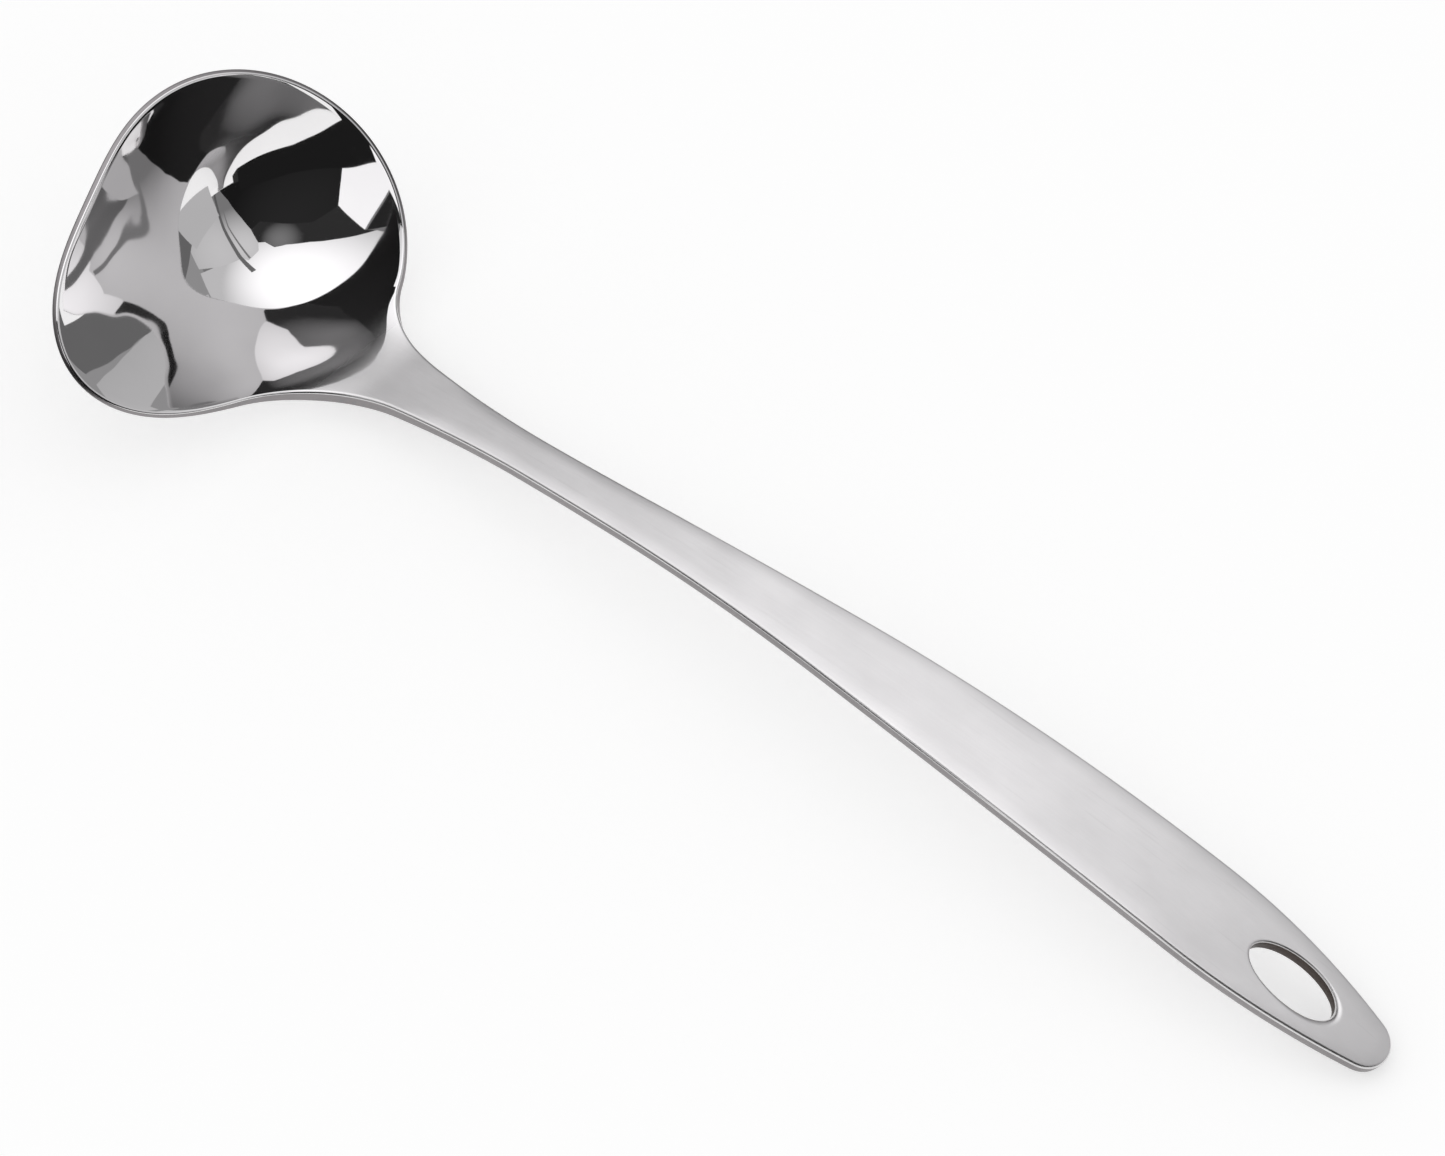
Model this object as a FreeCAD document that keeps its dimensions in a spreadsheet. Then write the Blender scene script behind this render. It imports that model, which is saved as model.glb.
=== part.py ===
import FreeCAD, Part
import Sketcher
import math
import os

# Gravy ladle with one side lip, pressed from a single blank of stainless steel.
# The working frame is the handle's: X runs up the straight root of the handle,
# Y goes across it, Z is square to its top face, and the origin is the point
# where the top face of the handle crosses the plane of the bowl's rim.
# The finished ladle is then laid down on its bowl and the end of its handle.

Vector = FreeCAD.Vector

doc = FreeCAD.newDocument("gravy_ladle")

# Driving dimensions, in millimetres and degrees
DIMENSIONS = [
    ("bowl_radius", 31.2),
    ("bowl_depth", 23.0),
    ("wall_angle", 58.5),
    ("bowl_sheet", 1.5),
    ("lip_reach", 18.5),
    ("lip_bearing", 86.0),
    ("lip_half_angle", 28.0),
    ("lip_rise", 0.2),
    ("root_setback", -0.4),
    ("handle_rise", 50.5),
    ("handle_length", 244.5),
    ("handle_sheet", 3.1),
    ("straight_length", 79.0),
    ("arch_radius", 476.0),
    ("neck_end", 19.5),
    ("neck_width", 13.4),
    ("flare_bearing_plain", 34.0),
    ("flare_bearing_lip", 47.0),
    ("waist_distance", 52.5),
    ("waist_width", 9.3),
    ("shoulder_from_tip", 39.0),
    ("shoulder_width", 19.2),
    ("tip_radius", 4.9),
    ("hole_from_tip", 19.4),
    ("hole_length", 17.0),
    ("hole_width", 8.6),
    ("hole_rounding", 1.0),
]

sheet = doc.addObject("Spreadsheet::Sheet", "sizes")
for row, (name, value) in enumerate(DIMENSIONS, start=1):
    sheet.set("A%d" % row, name)
    sheet.set("B%d" % row, str(value))
    sheet.setAlias("B%d" % row, name)
doc.recompute()


def size(name):
    return float(sheet.get(name))


bowl_radius = size("bowl_radius")
bowl_depth = size("bowl_depth")
bowl_sheet = size("bowl_sheet")
handle_sheet = size("handle_sheet")
lip_reach = size("lip_reach")
lip_rise = size("lip_rise")
lip_bearing = -math.radians(size("lip_bearing"))
handle_rise = math.radians(size("handle_rise"))
neck_end = size("neck_end")

# The handle's top face crosses the rim's plane this far from the bowl's axis
crossing = bowl_radius + size("root_setback")

# Pressed form of the bowl
# Depth falls as a quadratic and a quartic term, which set the wall's angle at the rim
RIM_STEEPNESS = math.tan(math.radians(size("wall_angle"))) * bowl_radius / bowl_depth
QUADRATIC = (4.0 - RIM_STEEPNESS) / 2.0
QUARTIC = 1.0 - QUADRATIC
# The lip swells in angle as a smooth bell, and down the wall as the cube of the level
LIP_SHARPNESS = math.log(2.0) / (1.0 - math.cos(math.radians(size("lip_half_angle"))))
LIP_POWER = 3
# Where the wall above the rim turns into the flat of the handle, along the rim's plane
TURN_START_SHARE = 0.76
TURN_END_SHARE = 0.7
TURN_START = bowl_radius * TURN_START_SHARE
TURN_END = crossing + neck_end * TURN_END_SHARE * math.cos(handle_rise)
# The sheet starts to thicken this far out from the bowl's axis, as a share of its radius
THICKENING_SHARE = 0.6


def lip_share(bearing):
    """How much of the lip's reach the rim has at a bearing from the handle."""
    return math.exp(LIP_SHARPNESS * (math.cos(bearing - lip_bearing) - 1.0))


def rim_radius(bearing):
    return bowl_radius + lip_reach * lip_share(bearing)


def smooth_step(value, start, end):
    """Rise from 0 at start to 1 at end with no kink at either."""
    t = min(max((value - start) / (end - start), 0.0), 1.0)
    return t * t * t * (t * (6.0 * t - 15.0) + 10.0)


def level_at(radius, bearing):
    """Level on the bowl: 0 at its lowest point, 1 on the rim, more above the rim."""
    reach = lip_reach * lip_share(bearing)
    level = radius / (bowl_radius + reach)
    for _ in range(8):
        miss = bowl_radius * level + reach * level ** LIP_POWER - radius
        level -= miss / (bowl_radius + LIP_POWER * reach * level ** (LIP_POWER - 1))
    return level


def top_height(x, y):
    """Height of the top face over the rim's plane, in the rim's frame."""
    bearing = math.atan2(y, x)
    level = level_at(math.hypot(x, y), bearing)
    if level < 1.0:
        bowl = bowl_depth * (QUADRATIC * level ** 2 + QUARTIC * level ** 4 - 1.0)
    else:
        bowl = bowl_depth * RIM_STEEPNESS * (level - 1.0)
    bowl += lip_rise * lip_share(bearing) * level ** 4
    strap = (x - crossing) * math.tan(handle_rise)
    share = smooth_step(x, TURN_START, TURN_END)
    return (1.0 - share) * bowl + share * strap


def thickness(x):
    """The blank is thick in the handle and drawn thin in the bowl."""
    grown = smooth_step(x, bowl_radius * THICKENING_SHARE, TURN_END)
    return bowl_sheet + (handle_sheet - bowl_sheet) * grown


def to_handle_frame(point):
    """Turn a point of the rim's frame into the handle's frame."""
    along = point.x - crossing
    return Vector(
        along * math.cos(handle_rise) + point.z * math.sin(handle_rise),
        point.y,
        point.z * math.cos(handle_rise) - along * math.sin(handle_rise),
    )


def skin_points(plan, under):
    """Lift a grid of plan points to the top face, or to the face under it."""
    step = 0.01
    grid = []
    for line in plan:
        row = []
        for x, y in line:
            point = Vector(x, y, top_height(x, y))
            if under:
                slope_x = (top_height(x + step, y) - top_height(x - step, y)) / (2.0 * step)
                slope_y = (top_height(x, y + step) - top_height(x, y - step)) / (2.0 * step)
                normal = Vector(-slope_x, -slope_y, 1.0).normalize()
                point = point - normal * thickness(x)
            row.append(to_handle_frame(point))
        grid.append(row)
    return grid


def between(start, end, share):
    return (
        start[0] + (end[0] - start[0]) * share,
        start[1] + (end[1] - start[1]) * share,
    )


def rim_point(bearing):
    radius = rim_radius(bearing)
    return (radius * math.cos(bearing), radius * math.sin(bearing))


def flare(bearing, side):
    """Edge of the neck: leaves the rim along it and runs into the handle's edge."""
    nudge = 0.001
    start = rim_point(bearing)
    beside = rim_point(bearing - side * nudge)
    away = math.hypot(beside[0] - start[0], beside[1] - start[1])
    end = (crossing + neck_end * math.cos(handle_rise), side * size("neck_width") / 2.0)
    pull = math.hypot(end[0] - start[0], end[1] - start[1])
    tangent = ((beside[0] - start[0]) / away * pull, (beside[1] - start[1]) / away * pull)
    arrival = (pull, -side * pull * root_taper / math.cos(handle_rise))

    def edge(t):
        a = 2.0 * t ** 3 - 3.0 * t ** 2 + 1.0
        b = t ** 3 - 2.0 * t ** 2 + t
        c = 3.0 * t ** 2 - 2.0 * t ** 3
        d = t ** 3 - t ** 2
        return (
            a * start[0] + b * tangent[0] + c * end[0] + d * arrival[0],
            a * start[1] + b * tangent[1] + c * end[1] + d * arrival[1],
        )

    return edge


# Plan of the skin: five patches in the bowl and one in the neck
# The taper of the handle at its root, as a slope of the edge
root_run = size("waist_distance") - neck_end
root_fall = (size("neck_width") - size("waist_width")) / 2.0
root_radius = (root_run ** 2 + root_fall ** 2) / (2.0 * root_fall)
root_taper = root_run / (root_radius - root_fall)

plain_start = math.radians(size("flare_bearing_plain"))
lip_start = -math.radians(size("flare_bearing_lip"))
CORNERS = [plain_start, math.radians(130.0), math.radians(230.0), 2.0 * math.pi + lip_start]
CORE_SHARE = 0.42
SIDE_STEPS = [16, 12, 16, 12]
RING_STEPS = 8
NECK_STEPS = 14
END_SHARE = 0.1


def shares(steps):
    """Even shares of a side, with one more close to each end that holds its slope."""
    close = END_SHARE / steps
    return [0.0, close] + [i / steps for i in range(1, steps)] + [1.0 - close, 1.0]


def core_corner(index):
    bearing = CORNERS[index % 4]
    core = bowl_radius * CORE_SHARE
    return (core * math.cos(bearing), core * math.sin(bearing))


def ring_patch(index):
    """Patch between one side of the core and the rim, or the chord at the neck."""
    plan = []
    for share in shares(SIDE_STEPS[index]):
        inner = between(core_corner(index), core_corner(index + 1), share)
        if index == 3:
            outer = between(rim_point(CORNERS[3]), rim_point(CORNERS[0]), share)
        else:
            outer = rim_point(CORNERS[index] + (CORNERS[index + 1] - CORNERS[index]) * share)
        plan.append([between(inner, outer, across) for across in shares(RING_STEPS)])
    return plan


def core_patch():
    plan = []
    for share in shares(SIDE_STEPS[0]):
        start = between(core_corner(0), core_corner(1), share)
        end = between(core_corner(3), core_corner(2), share)
        plan.append([between(start, end, across) for across in shares(SIDE_STEPS[1])])
    return plan


def neck_patch():
    plain_edge = flare(plain_start, 1.0)
    lip_edge = flare(lip_start, -1.0)
    plan = []
    for share in shares(NECK_STEPS):
        start, end = lip_edge(share), plain_edge(share)
        plan.append([between(start, end, across) for across in shares(SIDE_STEPS[3])])
    return plan


def spline(points):
    """Cubic curve through points that stand at the shares of a side."""
    curve = Part.BSplineCurve()
    curve.interpolate(Points=points, Parameters=shares(len(points) - 3))
    return curve


def skin(plan, under):
    """Surface through a grid of skin points, which shares its edges with its neighbours."""
    lines = [spline(row) for row in skin_points(plan, under)]
    columns = [spline(list(poles)) for poles in zip(*(line.getPoles() for line in lines))]
    surface = Part.BSplineSurface()
    surface.buildFromPolesMultsKnots(
        [list(row) for row in zip(*(column.getPoles() for column in columns))],
        columns[0].getMultiplicities(),
        lines[0].getMultiplicities(),
        columns[0].getKnots(),
        lines[0].getKnots(),
        False,
        False,
        3,
        3,
    )
    return surface


def edge_face(top, under, iso):
    """Edge of the sheet, ruled between the same line of its two faces."""
    return Part.makeRuledSurface(iso(top), iso(under))


def last_row(surface):
    return surface.uIso(surface.bounds()[1]).toShape()


def first_column(surface):
    return surface.vIso(surface.bounds()[2]).toShape()


def last_column(surface):
    return surface.vIso(surface.bounds()[3]).toShape()


faces = []
rim_patches = [ring_patch(index) for index in range(3)]
for plan in rim_patches:
    top, under = skin(plan, False), skin(plan, True)
    faces += [top.toShape(), under.toShape(), edge_face(top, under, last_column)]
for plan in (ring_patch(3), core_patch()):
    faces += [skin(plan, False).toShape(), skin(plan, True).toShape()]
top, under = skin(neck_patch(), False), skin(neck_patch(), True)
faces += [top.toShape(), under.toShape()]
faces += [edge_face(top, under, iso) for iso in (first_column, last_column, last_row)]

shell = Part.makeShell(faces)
shell.sewShape(0.02)
bowl_solid = Part.makeSolid(shell)
if bowl_solid.Volume < 0.0:
    bowl_solid.reverse()
pressed_bowl = doc.addObject("Part::Feature", "pressed_bowl")
pressed_bowl.Shape = bowl_solid


# Handle strap: the side profile padded across, trimmed to its plan and pierced
strap = doc.addObject("PartDesign::Body", "handle_strap")


def add_sketch(name, role):
    """Sketch on one of the body's own origin planes."""
    plane = next(f for f in strap.Origin.OriginFeatures if f.Role == role)
    sketch = strap.newObject("Sketcher::SketchObject", name)
    sketch.AttachmentSupport = (plane, "")
    sketch.MapMode = "FlatFace"
    return sketch


def line(sketch, start, end):
    return sketch.addGeometry(Part.LineSegment(Vector(*start, 0), Vector(*end, 0)), False)


def arc(sketch, centre, radius, start_angle, end_angle):
    """Arc run anticlockwise between two angles given in radians."""
    circle = Part.Circle(Vector(*centre, 0), Vector(0, 0, 1), radius)
    return sketch.addGeometry(Part.ArcOfCircle(circle, start_angle, end_angle), False)


def rule(sketch, *parts):
    return sketch.addConstraint(Sketcher.Constraint(*parts))


def driven(sketch, expression, *parts):
    """Dimension whose value comes from the sizes."""
    index = sketch.addConstraint(Sketcher.Constraint(*parts))
    sketch.setExpression("Constraints[%d]" % index, expression)
    return index


# Sketcher's numbers for the ends of an element, the axes and the origin
START_INDEX, END_INDEX, CENTRE_INDEX = 1, 2, 3
ACROSS_INDEX = -1
ORIGIN = (ACROSS_INDEX, START_INDEX)
straight_length = size("straight_length")
arch_radius = size("arch_radius")
handle_length = size("handle_length")
TRIM_ALLOWANCE = 6.0

# Side profile: a straight root, then a long shallow arch down to the tip
arch_angle = (handle_length + TRIM_ALLOWANCE - straight_length) / arch_radius
arch_start = math.pi / 2.0 - arch_angle
arch_centre = (straight_length, -arch_radius)


def on_arch(radius):
    return (
        arch_centre[0] + radius * math.cos(arch_start),
        arch_centre[1] + radius * math.sin(arch_start),
    )


side = add_sketch("side_profile", "XZ_Plane")
inner_radius = arch_radius - handle_sheet
top_line = line(side, (neck_end, 0), (straight_length, 0))
top_arc = arc(side, arch_centre, arch_radius, arch_start, math.pi / 2.0)
end_line = line(side, on_arch(arch_radius), on_arch(inner_radius))
under_arc = arc(side, arch_centre, inner_radius, arch_start, math.pi / 2.0)
under_line = line(side, (straight_length, -handle_sheet), (neck_end, -handle_sheet))
root_line = line(side, (neck_end, -handle_sheet), (neck_end, 0))
rule(side, "PointOnObject", top_line, START_INDEX, ACROSS_INDEX)
rule(side, "Horizontal", top_line)
rule(side, "Tangent", top_line, END_INDEX, top_arc, END_INDEX)
rule(side, "Coincident", top_arc, START_INDEX, end_line, START_INDEX)
rule(side, "Coincident", end_line, END_INDEX, under_arc, START_INDEX)
rule(side, "Coincident", under_arc, CENTRE_INDEX, top_arc, CENTRE_INDEX)
rule(side, "PointOnObject", top_arc, CENTRE_INDEX, end_line)
rule(side, "Tangent", under_line, START_INDEX, under_arc, END_INDEX)
rule(side, "Coincident", under_line, END_INDEX, root_line, START_INDEX)
rule(side, "Coincident", root_line, END_INDEX, top_line, START_INDEX)
rule(side, "Vertical", root_line)
driven(side, "sizes.neck_end", "DistanceX", *ORIGIN, top_line, START_INDEX, neck_end)
driven(side, "sizes.straight_length", "DistanceX", *ORIGIN, top_line, END_INDEX, straight_length)
driven(side, "sizes.arch_radius", "Radius", top_arc, arch_radius)
driven(side, "sizes.handle_sheet", "Distance", root_line, handle_sheet)
ARCH = "(sizes.handle_length + %g - sizes.straight_length) / sizes.arch_radius" % TRIM_ALLOWANCE
driven(side, ARCH + " * 180 / pi", "Angle", top_arc, arch_angle)

blank = strap.newObject("PartDesign::Pad", "blank")
blank.Profile = side
blank.Midplane = True
blank.setExpression("Length", "2 * sizes.shoulder_width")
doc.recompute()

# Plan of one long edge: it narrows to the waist, then swells to the shoulder
waist = (size("waist_distance"), size("waist_width") / 2.0)
shoulder = (handle_length - size("shoulder_from_tip"), size("shoulder_width") / 2.0)
swell_run = shoulder[0] - waist[0]
swell_rise = shoulder[1] - waist[1]
swell_radius = (swell_run ** 2 + swell_rise ** 2) / (4.0 * swell_rise)
swell_angle = math.asin(swell_run / 2.0 / swell_radius)
root_angle = math.asin(root_run / root_radius)
blank_end = handle_length + TRIM_ALLOWANCE
clear = size("shoulder_width") * 1.5
DOWN, UP = -math.pi / 2.0, math.pi / 2.0

trim = add_sketch("edge_trim", "XY_Plane")
root_top = (waist[0], waist[1] + root_radius)
swell_top = (waist[0], waist[1] + swell_radius)
swell_low = (shoulder[0], shoulder[1] - swell_radius)
root_arc = arc(trim, root_top, root_radius, DOWN - root_angle, DOWN)
waist_arc = arc(trim, swell_top, swell_radius, DOWN, DOWN + swell_angle)
shoulder_arc = arc(trim, swell_low, swell_radius, UP, UP + swell_angle)
straight = line(trim, shoulder, (blank_end, shoulder[1]))
far_line = line(trim, (blank_end, shoulder[1]), (blank_end, clear))
outer_line = line(trim, (blank_end, clear), (neck_end, clear))
near_line = line(trim, (neck_end, clear), (neck_end, size("neck_width") / 2.0))
rule(trim, "Tangent", root_arc, END_INDEX, waist_arc, START_INDEX)
rule(trim, "Tangent", waist_arc, END_INDEX, shoulder_arc, END_INDEX)
rule(trim, "Tangent", shoulder_arc, START_INDEX, straight, START_INDEX)
rule(trim, "Horizontal", straight)
rule(trim, "Vertical", waist_arc, CENTRE_INDEX, waist_arc, START_INDEX)
rule(trim, "Equal", waist_arc, shoulder_arc)
rule(trim, "Coincident", straight, END_INDEX, far_line, START_INDEX)
rule(trim, "Vertical", far_line)
rule(trim, "Coincident", far_line, END_INDEX, outer_line, START_INDEX)
rule(trim, "Horizontal", outer_line)
rule(trim, "Coincident", outer_line, END_INDEX, near_line, START_INDEX)
rule(trim, "Vertical", near_line)
rule(trim, "Coincident", near_line, END_INDEX, root_arc, START_INDEX)
driven(trim, "sizes.neck_end", "DistanceX", *ORIGIN, root_arc, START_INDEX, neck_end)
half_neck = size("neck_width") / 2.0
driven(trim, "sizes.neck_width / 2", "DistanceY", *ORIGIN, root_arc, START_INDEX, half_neck)
driven(trim, "sizes.waist_distance", "DistanceX", *ORIGIN, root_arc, END_INDEX, waist[0])
driven(trim, "sizes.waist_width / 2", "DistanceY", *ORIGIN, root_arc, END_INDEX, waist[1])
driven(
    trim,
    "sizes.handle_length - sizes.shoulder_from_tip",
    "DistanceX", *ORIGIN, straight, START_INDEX, shoulder[0],
)
driven(trim, "sizes.shoulder_width / 2", "DistanceY", *ORIGIN, straight, START_INDEX, shoulder[1])
driven(trim, "sizes.shoulder_width * 1.5", "DistanceY", *ORIGIN, outer_line, START_INDEX, clear)
driven(
    trim,
    "sizes.handle_length + %g" % TRIM_ALLOWANCE,
    "DistanceX", *ORIGIN, straight, END_INDEX, blank_end,
)

left_edge = strap.newObject("PartDesign::Pocket", "left_edge")
left_edge.Profile = trim
left_edge.Type = "ThroughAll"
left_edge.Midplane = True
both_edges = strap.newObject("PartDesign::Mirrored", "both_edges")
both_edges.Originals = [left_edge]
both_edges.MirrorPlane = (next(f for f in strap.Origin.OriginFeatures if f.Role == "XZ_Plane"), [""])
strap.Tip = both_edges
doc.recompute()

# Tip and hanging hole are drawn on the plane that touches the arch at the hole
HOLE_TURN = "(sizes.handle_length - sizes.hole_from_tip - sizes.straight_length) / sizes.arch_radius"
hole_turn = (handle_length - size("hole_from_tip") - straight_length) / arch_radius


def add_tip_sketch(name):
    sketch = add_sketch(name, "XY_Plane")
    sketch.AttachmentOffset = FreeCAD.Placement(
        Vector(
            straight_length + arch_radius * math.sin(hole_turn),
            0,
            arch_radius * (math.cos(hole_turn) - 1.0),
        ),
        FreeCAD.Rotation(Vector(0, 1, 0), math.degrees(hole_turn)),
    )
    degrees = "(%s * 180 / pi)" % HOLE_TURN
    sketch.setExpression(
        "AttachmentOffset.Base.x",
        "sizes.straight_length + sizes.arch_radius * sin(%s)" % degrees,
    )
    sketch.setExpression(
        "AttachmentOffset.Base.z",
        "sizes.arch_radius * (cos(%s) - 1)" % degrees,
    )
    sketch.setExpression("AttachmentOffset.Rotation.Angle", degrees)
    return sketch


def pierce(name, sketch):
    """Cut a sketch on the tip's plane right through the strap."""
    pocket = strap.newObject("PartDesign::Pocket", name)
    pocket.Profile = sketch
    pocket.Type = "Length"
    pocket.Midplane = True
    pocket.setExpression("Length", "6 * sizes.handle_sheet")
    strap.Tip = pocket
    return pocket


# Ogive tip: two long side arcs run into one small arc at the end
tip_radius = size("tip_radius")
tip_end = size("hole_from_tip")
ogive_start = shoulder[0] - (handle_length - tip_end)
tip_centre = (tip_end - tip_radius, 0)
ogive_run = tip_centre[0] - ogive_start
ogive_radius = (ogive_run ** 2 + shoulder[1] ** 2 - tip_radius ** 2) / (2.0 * (shoulder[1] - tip_radius))
ogive_angle = math.asin(ogive_run / (ogive_radius - tip_radius))
past_tip = tip_end + 2.0 * TRIM_ALLOWANCE

tip = add_tip_sketch("tip_outline")
low_side = arc(
    tip,
    (ogive_start, ogive_radius - shoulder[1]),
    ogive_radius,
    DOWN,
    DOWN + ogive_angle,
)
high_side = arc(
    tip,
    (ogive_start, shoulder[1] - ogive_radius),
    ogive_radius,
    UP - ogive_angle,
    UP,
)
tip_arc = arc(tip, tip_centre, tip_radius, DOWN + ogive_angle, UP - ogive_angle)
corners = [
    (ogive_start, shoulder[1]),
    (ogive_start, clear),
    (past_tip, clear),
    (past_tip, -clear),
    (ogive_start, -clear),
    (ogive_start, -shoulder[1]),
]
frame = [line(tip, corners[n], corners[n + 1]) for n in range(5)]
rule(tip, "Tangent", low_side, END_INDEX, tip_arc, START_INDEX)
rule(tip, "Tangent", tip_arc, END_INDEX, high_side, START_INDEX)
rule(tip, "Coincident", high_side, END_INDEX, frame[0], START_INDEX)
for before, after in zip(frame, frame[1:]):
    rule(tip, "Coincident", before, END_INDEX, after, START_INDEX)
rule(tip, "Coincident", frame[4], END_INDEX, low_side, START_INDEX)
for upright in (frame[0], frame[4]):
    rule(tip, "Vertical", upright)
for level in (frame[1], frame[3]):
    rule(tip, "Horizontal", level)
rule(tip, "PointOnObject", tip_arc, CENTRE_INDEX, ACROSS_INDEX)
rule(tip, "Vertical", low_side, CENTRE_INDEX, low_side, START_INDEX)
rule(tip, "Vertical", high_side, CENTRE_INDEX, high_side, END_INDEX)
rule(tip, "Vertical", low_side, START_INDEX, high_side, END_INDEX)
rule(tip, "Symmetric", frame[1], END_INDEX, frame[3], START_INDEX, ACROSS_INDEX)
driven(tip, "sizes.tip_radius", "Radius", tip_arc, tip_radius)
driven(
    tip,
    "sizes.hole_from_tip - sizes.tip_radius",
    "DistanceX", *ORIGIN, tip_arc, CENTRE_INDEX, tip_centre[0],
)
driven(tip, "sizes.shoulder_width / 2", "DistanceY", *ORIGIN, high_side, END_INDEX, shoulder[1])
driven(
    tip,
    "sizes.shoulder_width",
    "DistanceY", low_side, START_INDEX, high_side, END_INDEX, 2.0 * shoulder[1],
)
driven(
    tip,
    "sizes.shoulder_from_tip - sizes.hole_from_tip",
    "DistanceX", high_side, END_INDEX, *ORIGIN, -ogive_start,
)
driven(tip, "sizes.shoulder_width * 1.5", "DistanceY", *ORIGIN, frame[1], END_INDEX, clear)
driven(
    tip,
    "sizes.hole_from_tip + %g" % (2.0 * TRIM_ALLOWANCE),
    "DistanceX", *ORIGIN, frame[1], END_INDEX, past_tip,
)
rounded_tip = pierce("rounded_tip", tip)
doc.recompute()

# Hanging hole: a long oval on the handle's middle line
hole = add_tip_sketch("hole_outline")
half_length = size("hole_length") / 2.0
half_width = size("hole_width") / 2.0
oval = hole.addGeometry(
    Part.Ellipse(Vector(half_length, 0, 0), Vector(0, half_width, 0), Vector(0, 0, 0)), False
)
hole.exposeInternalGeometry(oval)
long_axis, short_axis = oval + 1, oval + 2
rule(hole, "Coincident", oval, CENTRE_INDEX, *ORIGIN)
rule(hole, "Horizontal", long_axis)
driven(hole, "sizes.hole_length", "Distance", long_axis, 2.0 * half_length)
driven(hole, "sizes.hole_width", "Distance", short_axis, 2.0 * half_width)
hanging_hole = pierce("hanging_hole", hole)
doc.recompute()


# The hole's two edges, the only closed ones, are ground soft
numbered = enumerate(hanging_hole.Shape.Edges, start=1)
hole_edges = ["Edge%d" % number for number, edge in numbered if edge.isClosed()]
soft_hole = strap.newObject("PartDesign::Fillet", "soft_hole")
soft_hole.Base = (hanging_hole, hole_edges)
soft_hole.setExpression("Radius", "sizes.hole_rounding")
strap.Tip = soft_hole
doc.recompute()

# The bowl and the strap are one piece of steel
ladle = doc.addObject("Part::MultiFuse", "ladle")
ladle.Label = "ladle"
ladle.Shapes = [pressed_bowl, strap]
ladle.Refine = True
doc.recompute()

TILT_STEPS = 6


def lowest(shape):
    return shape.optimalBoundingBox(False, False).ZMin


def laid_down(tilt):
    """Turn that lifts the root of the handle by an angle in degrees."""
    return FreeCAD.Placement(Vector(0, 0, 0), FreeCAD.Rotation(Vector(0, 1, 0), -tilt))


# It lies on the bowl and on the end of the handle: find the tilt at which both touch
far_half = Part.makeBox(
    handle_length,
    4.0 * clear,
    2.0 * handle_length,
    Vector(handle_length / 2.0, -2.0 * clear, -handle_length),
)
near_part = ladle.Shape.cut(far_half)
far_part = ladle.Shape.common(far_half)
tilt = 0.0
for _ in range(TILT_STEPS):
    turn = laid_down(tilt).toMatrix()
    drop = lowest(near_part.transformed(turn)) - lowest(far_part.transformed(turn))
    tilt += math.degrees(math.atan(drop / handle_length))

laid = laid_down(tilt)
box = ladle.Shape.transformed(laid.toMatrix()).optimalBoundingBox(False, False)
laid.Base = Vector(-box.Center.x, -box.Center.y, -box.ZMin)
ladle.Placement = laid
doc.recompute()

for thing in doc.Objects:
    if "Invalid" in thing.State or "Error" in thing.State:
        raise RuntimeError("%s failed: %s" % (thing.Name, thing.State))
if ladle.Shape.isNull() or not ladle.Shape.isValid() or len(ladle.Shape.Solids) != 1:
    raise RuntimeError("the ladle is not one valid solid")

os.makedirs("parts", exist_ok=True)
ladle.Shape.exportStep("parts/%s.step" % ladle.Label)
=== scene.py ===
"""Looks of a one-piece stainless-steel gravy ladle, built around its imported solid.

The visible ladle is one mesh. The upper skin of the pressed sheet is laid out from the same
sizes as the solid, and a Geometry Nodes tree gives it its thickness and its soft edges.
"""

import logging
import math
from collections.abc import Iterable
from dataclasses import dataclass
from enum import Enum

import bmesh
import bpy
import numpy as np
from mathutils import Matrix


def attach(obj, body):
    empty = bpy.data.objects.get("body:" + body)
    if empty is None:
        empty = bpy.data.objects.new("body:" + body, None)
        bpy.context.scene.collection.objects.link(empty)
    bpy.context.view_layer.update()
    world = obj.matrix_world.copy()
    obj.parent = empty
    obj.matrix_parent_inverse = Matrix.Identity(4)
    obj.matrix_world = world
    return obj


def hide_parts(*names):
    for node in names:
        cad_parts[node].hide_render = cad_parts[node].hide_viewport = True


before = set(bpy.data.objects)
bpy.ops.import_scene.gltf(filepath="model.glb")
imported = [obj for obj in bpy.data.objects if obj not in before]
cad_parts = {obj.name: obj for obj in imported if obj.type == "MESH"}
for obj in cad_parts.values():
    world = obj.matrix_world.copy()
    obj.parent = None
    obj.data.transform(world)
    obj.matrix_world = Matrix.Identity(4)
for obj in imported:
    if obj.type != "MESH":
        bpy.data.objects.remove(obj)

LOG = logging.getLogger("gravy_ladle")
MM = 0.001
WHITE = (1.0, 1.0, 1.0, 1.0)
Socket = bpy.types.NodeSocket


@dataclass(frozen=True)
class LadleSizes:
    """Sizes of the ladle, in millimetres and degrees, as in the solid."""

    bowl_radius: float = 31.2
    bowl_depth: float = 23.0
    wall_angle: float = 58.5
    bowl_sheet: float = 1.5
    lip_reach: float = 18.5
    lip_bearing: float = -86.0
    lip_half_angle: float = 28.0
    lip_rise: float = 0.2
    root_setback: float = -0.4
    handle_rise: float = 50.5
    handle_length: float = 244.5
    handle_sheet: float = 3.1
    straight_length: float = 79.0
    arch_radius: float = 476.0
    neck_end: float = 19.5
    neck_width: float = 13.4
    flare_plain: float = 34.0
    flare_lip: float = -47.0
    waist_distance: float = 52.5
    waist_width: float = 9.3
    shoulder_from_tip: float = 39.0
    shoulder_width: float = 19.2
    tip_radius: float = 4.9
    hole_from_tip: float = 19.4
    hole_length: float = 17.0
    hole_width: float = 8.6
    turn_start_share: float = 0.76
    turn_end_share: float = 0.7
    thickening_share: float = 0.6
    tilt: float = 6.46107
    base: tuple[float, float, float] = (-97.44683, 8.95348, 4.20708)


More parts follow.
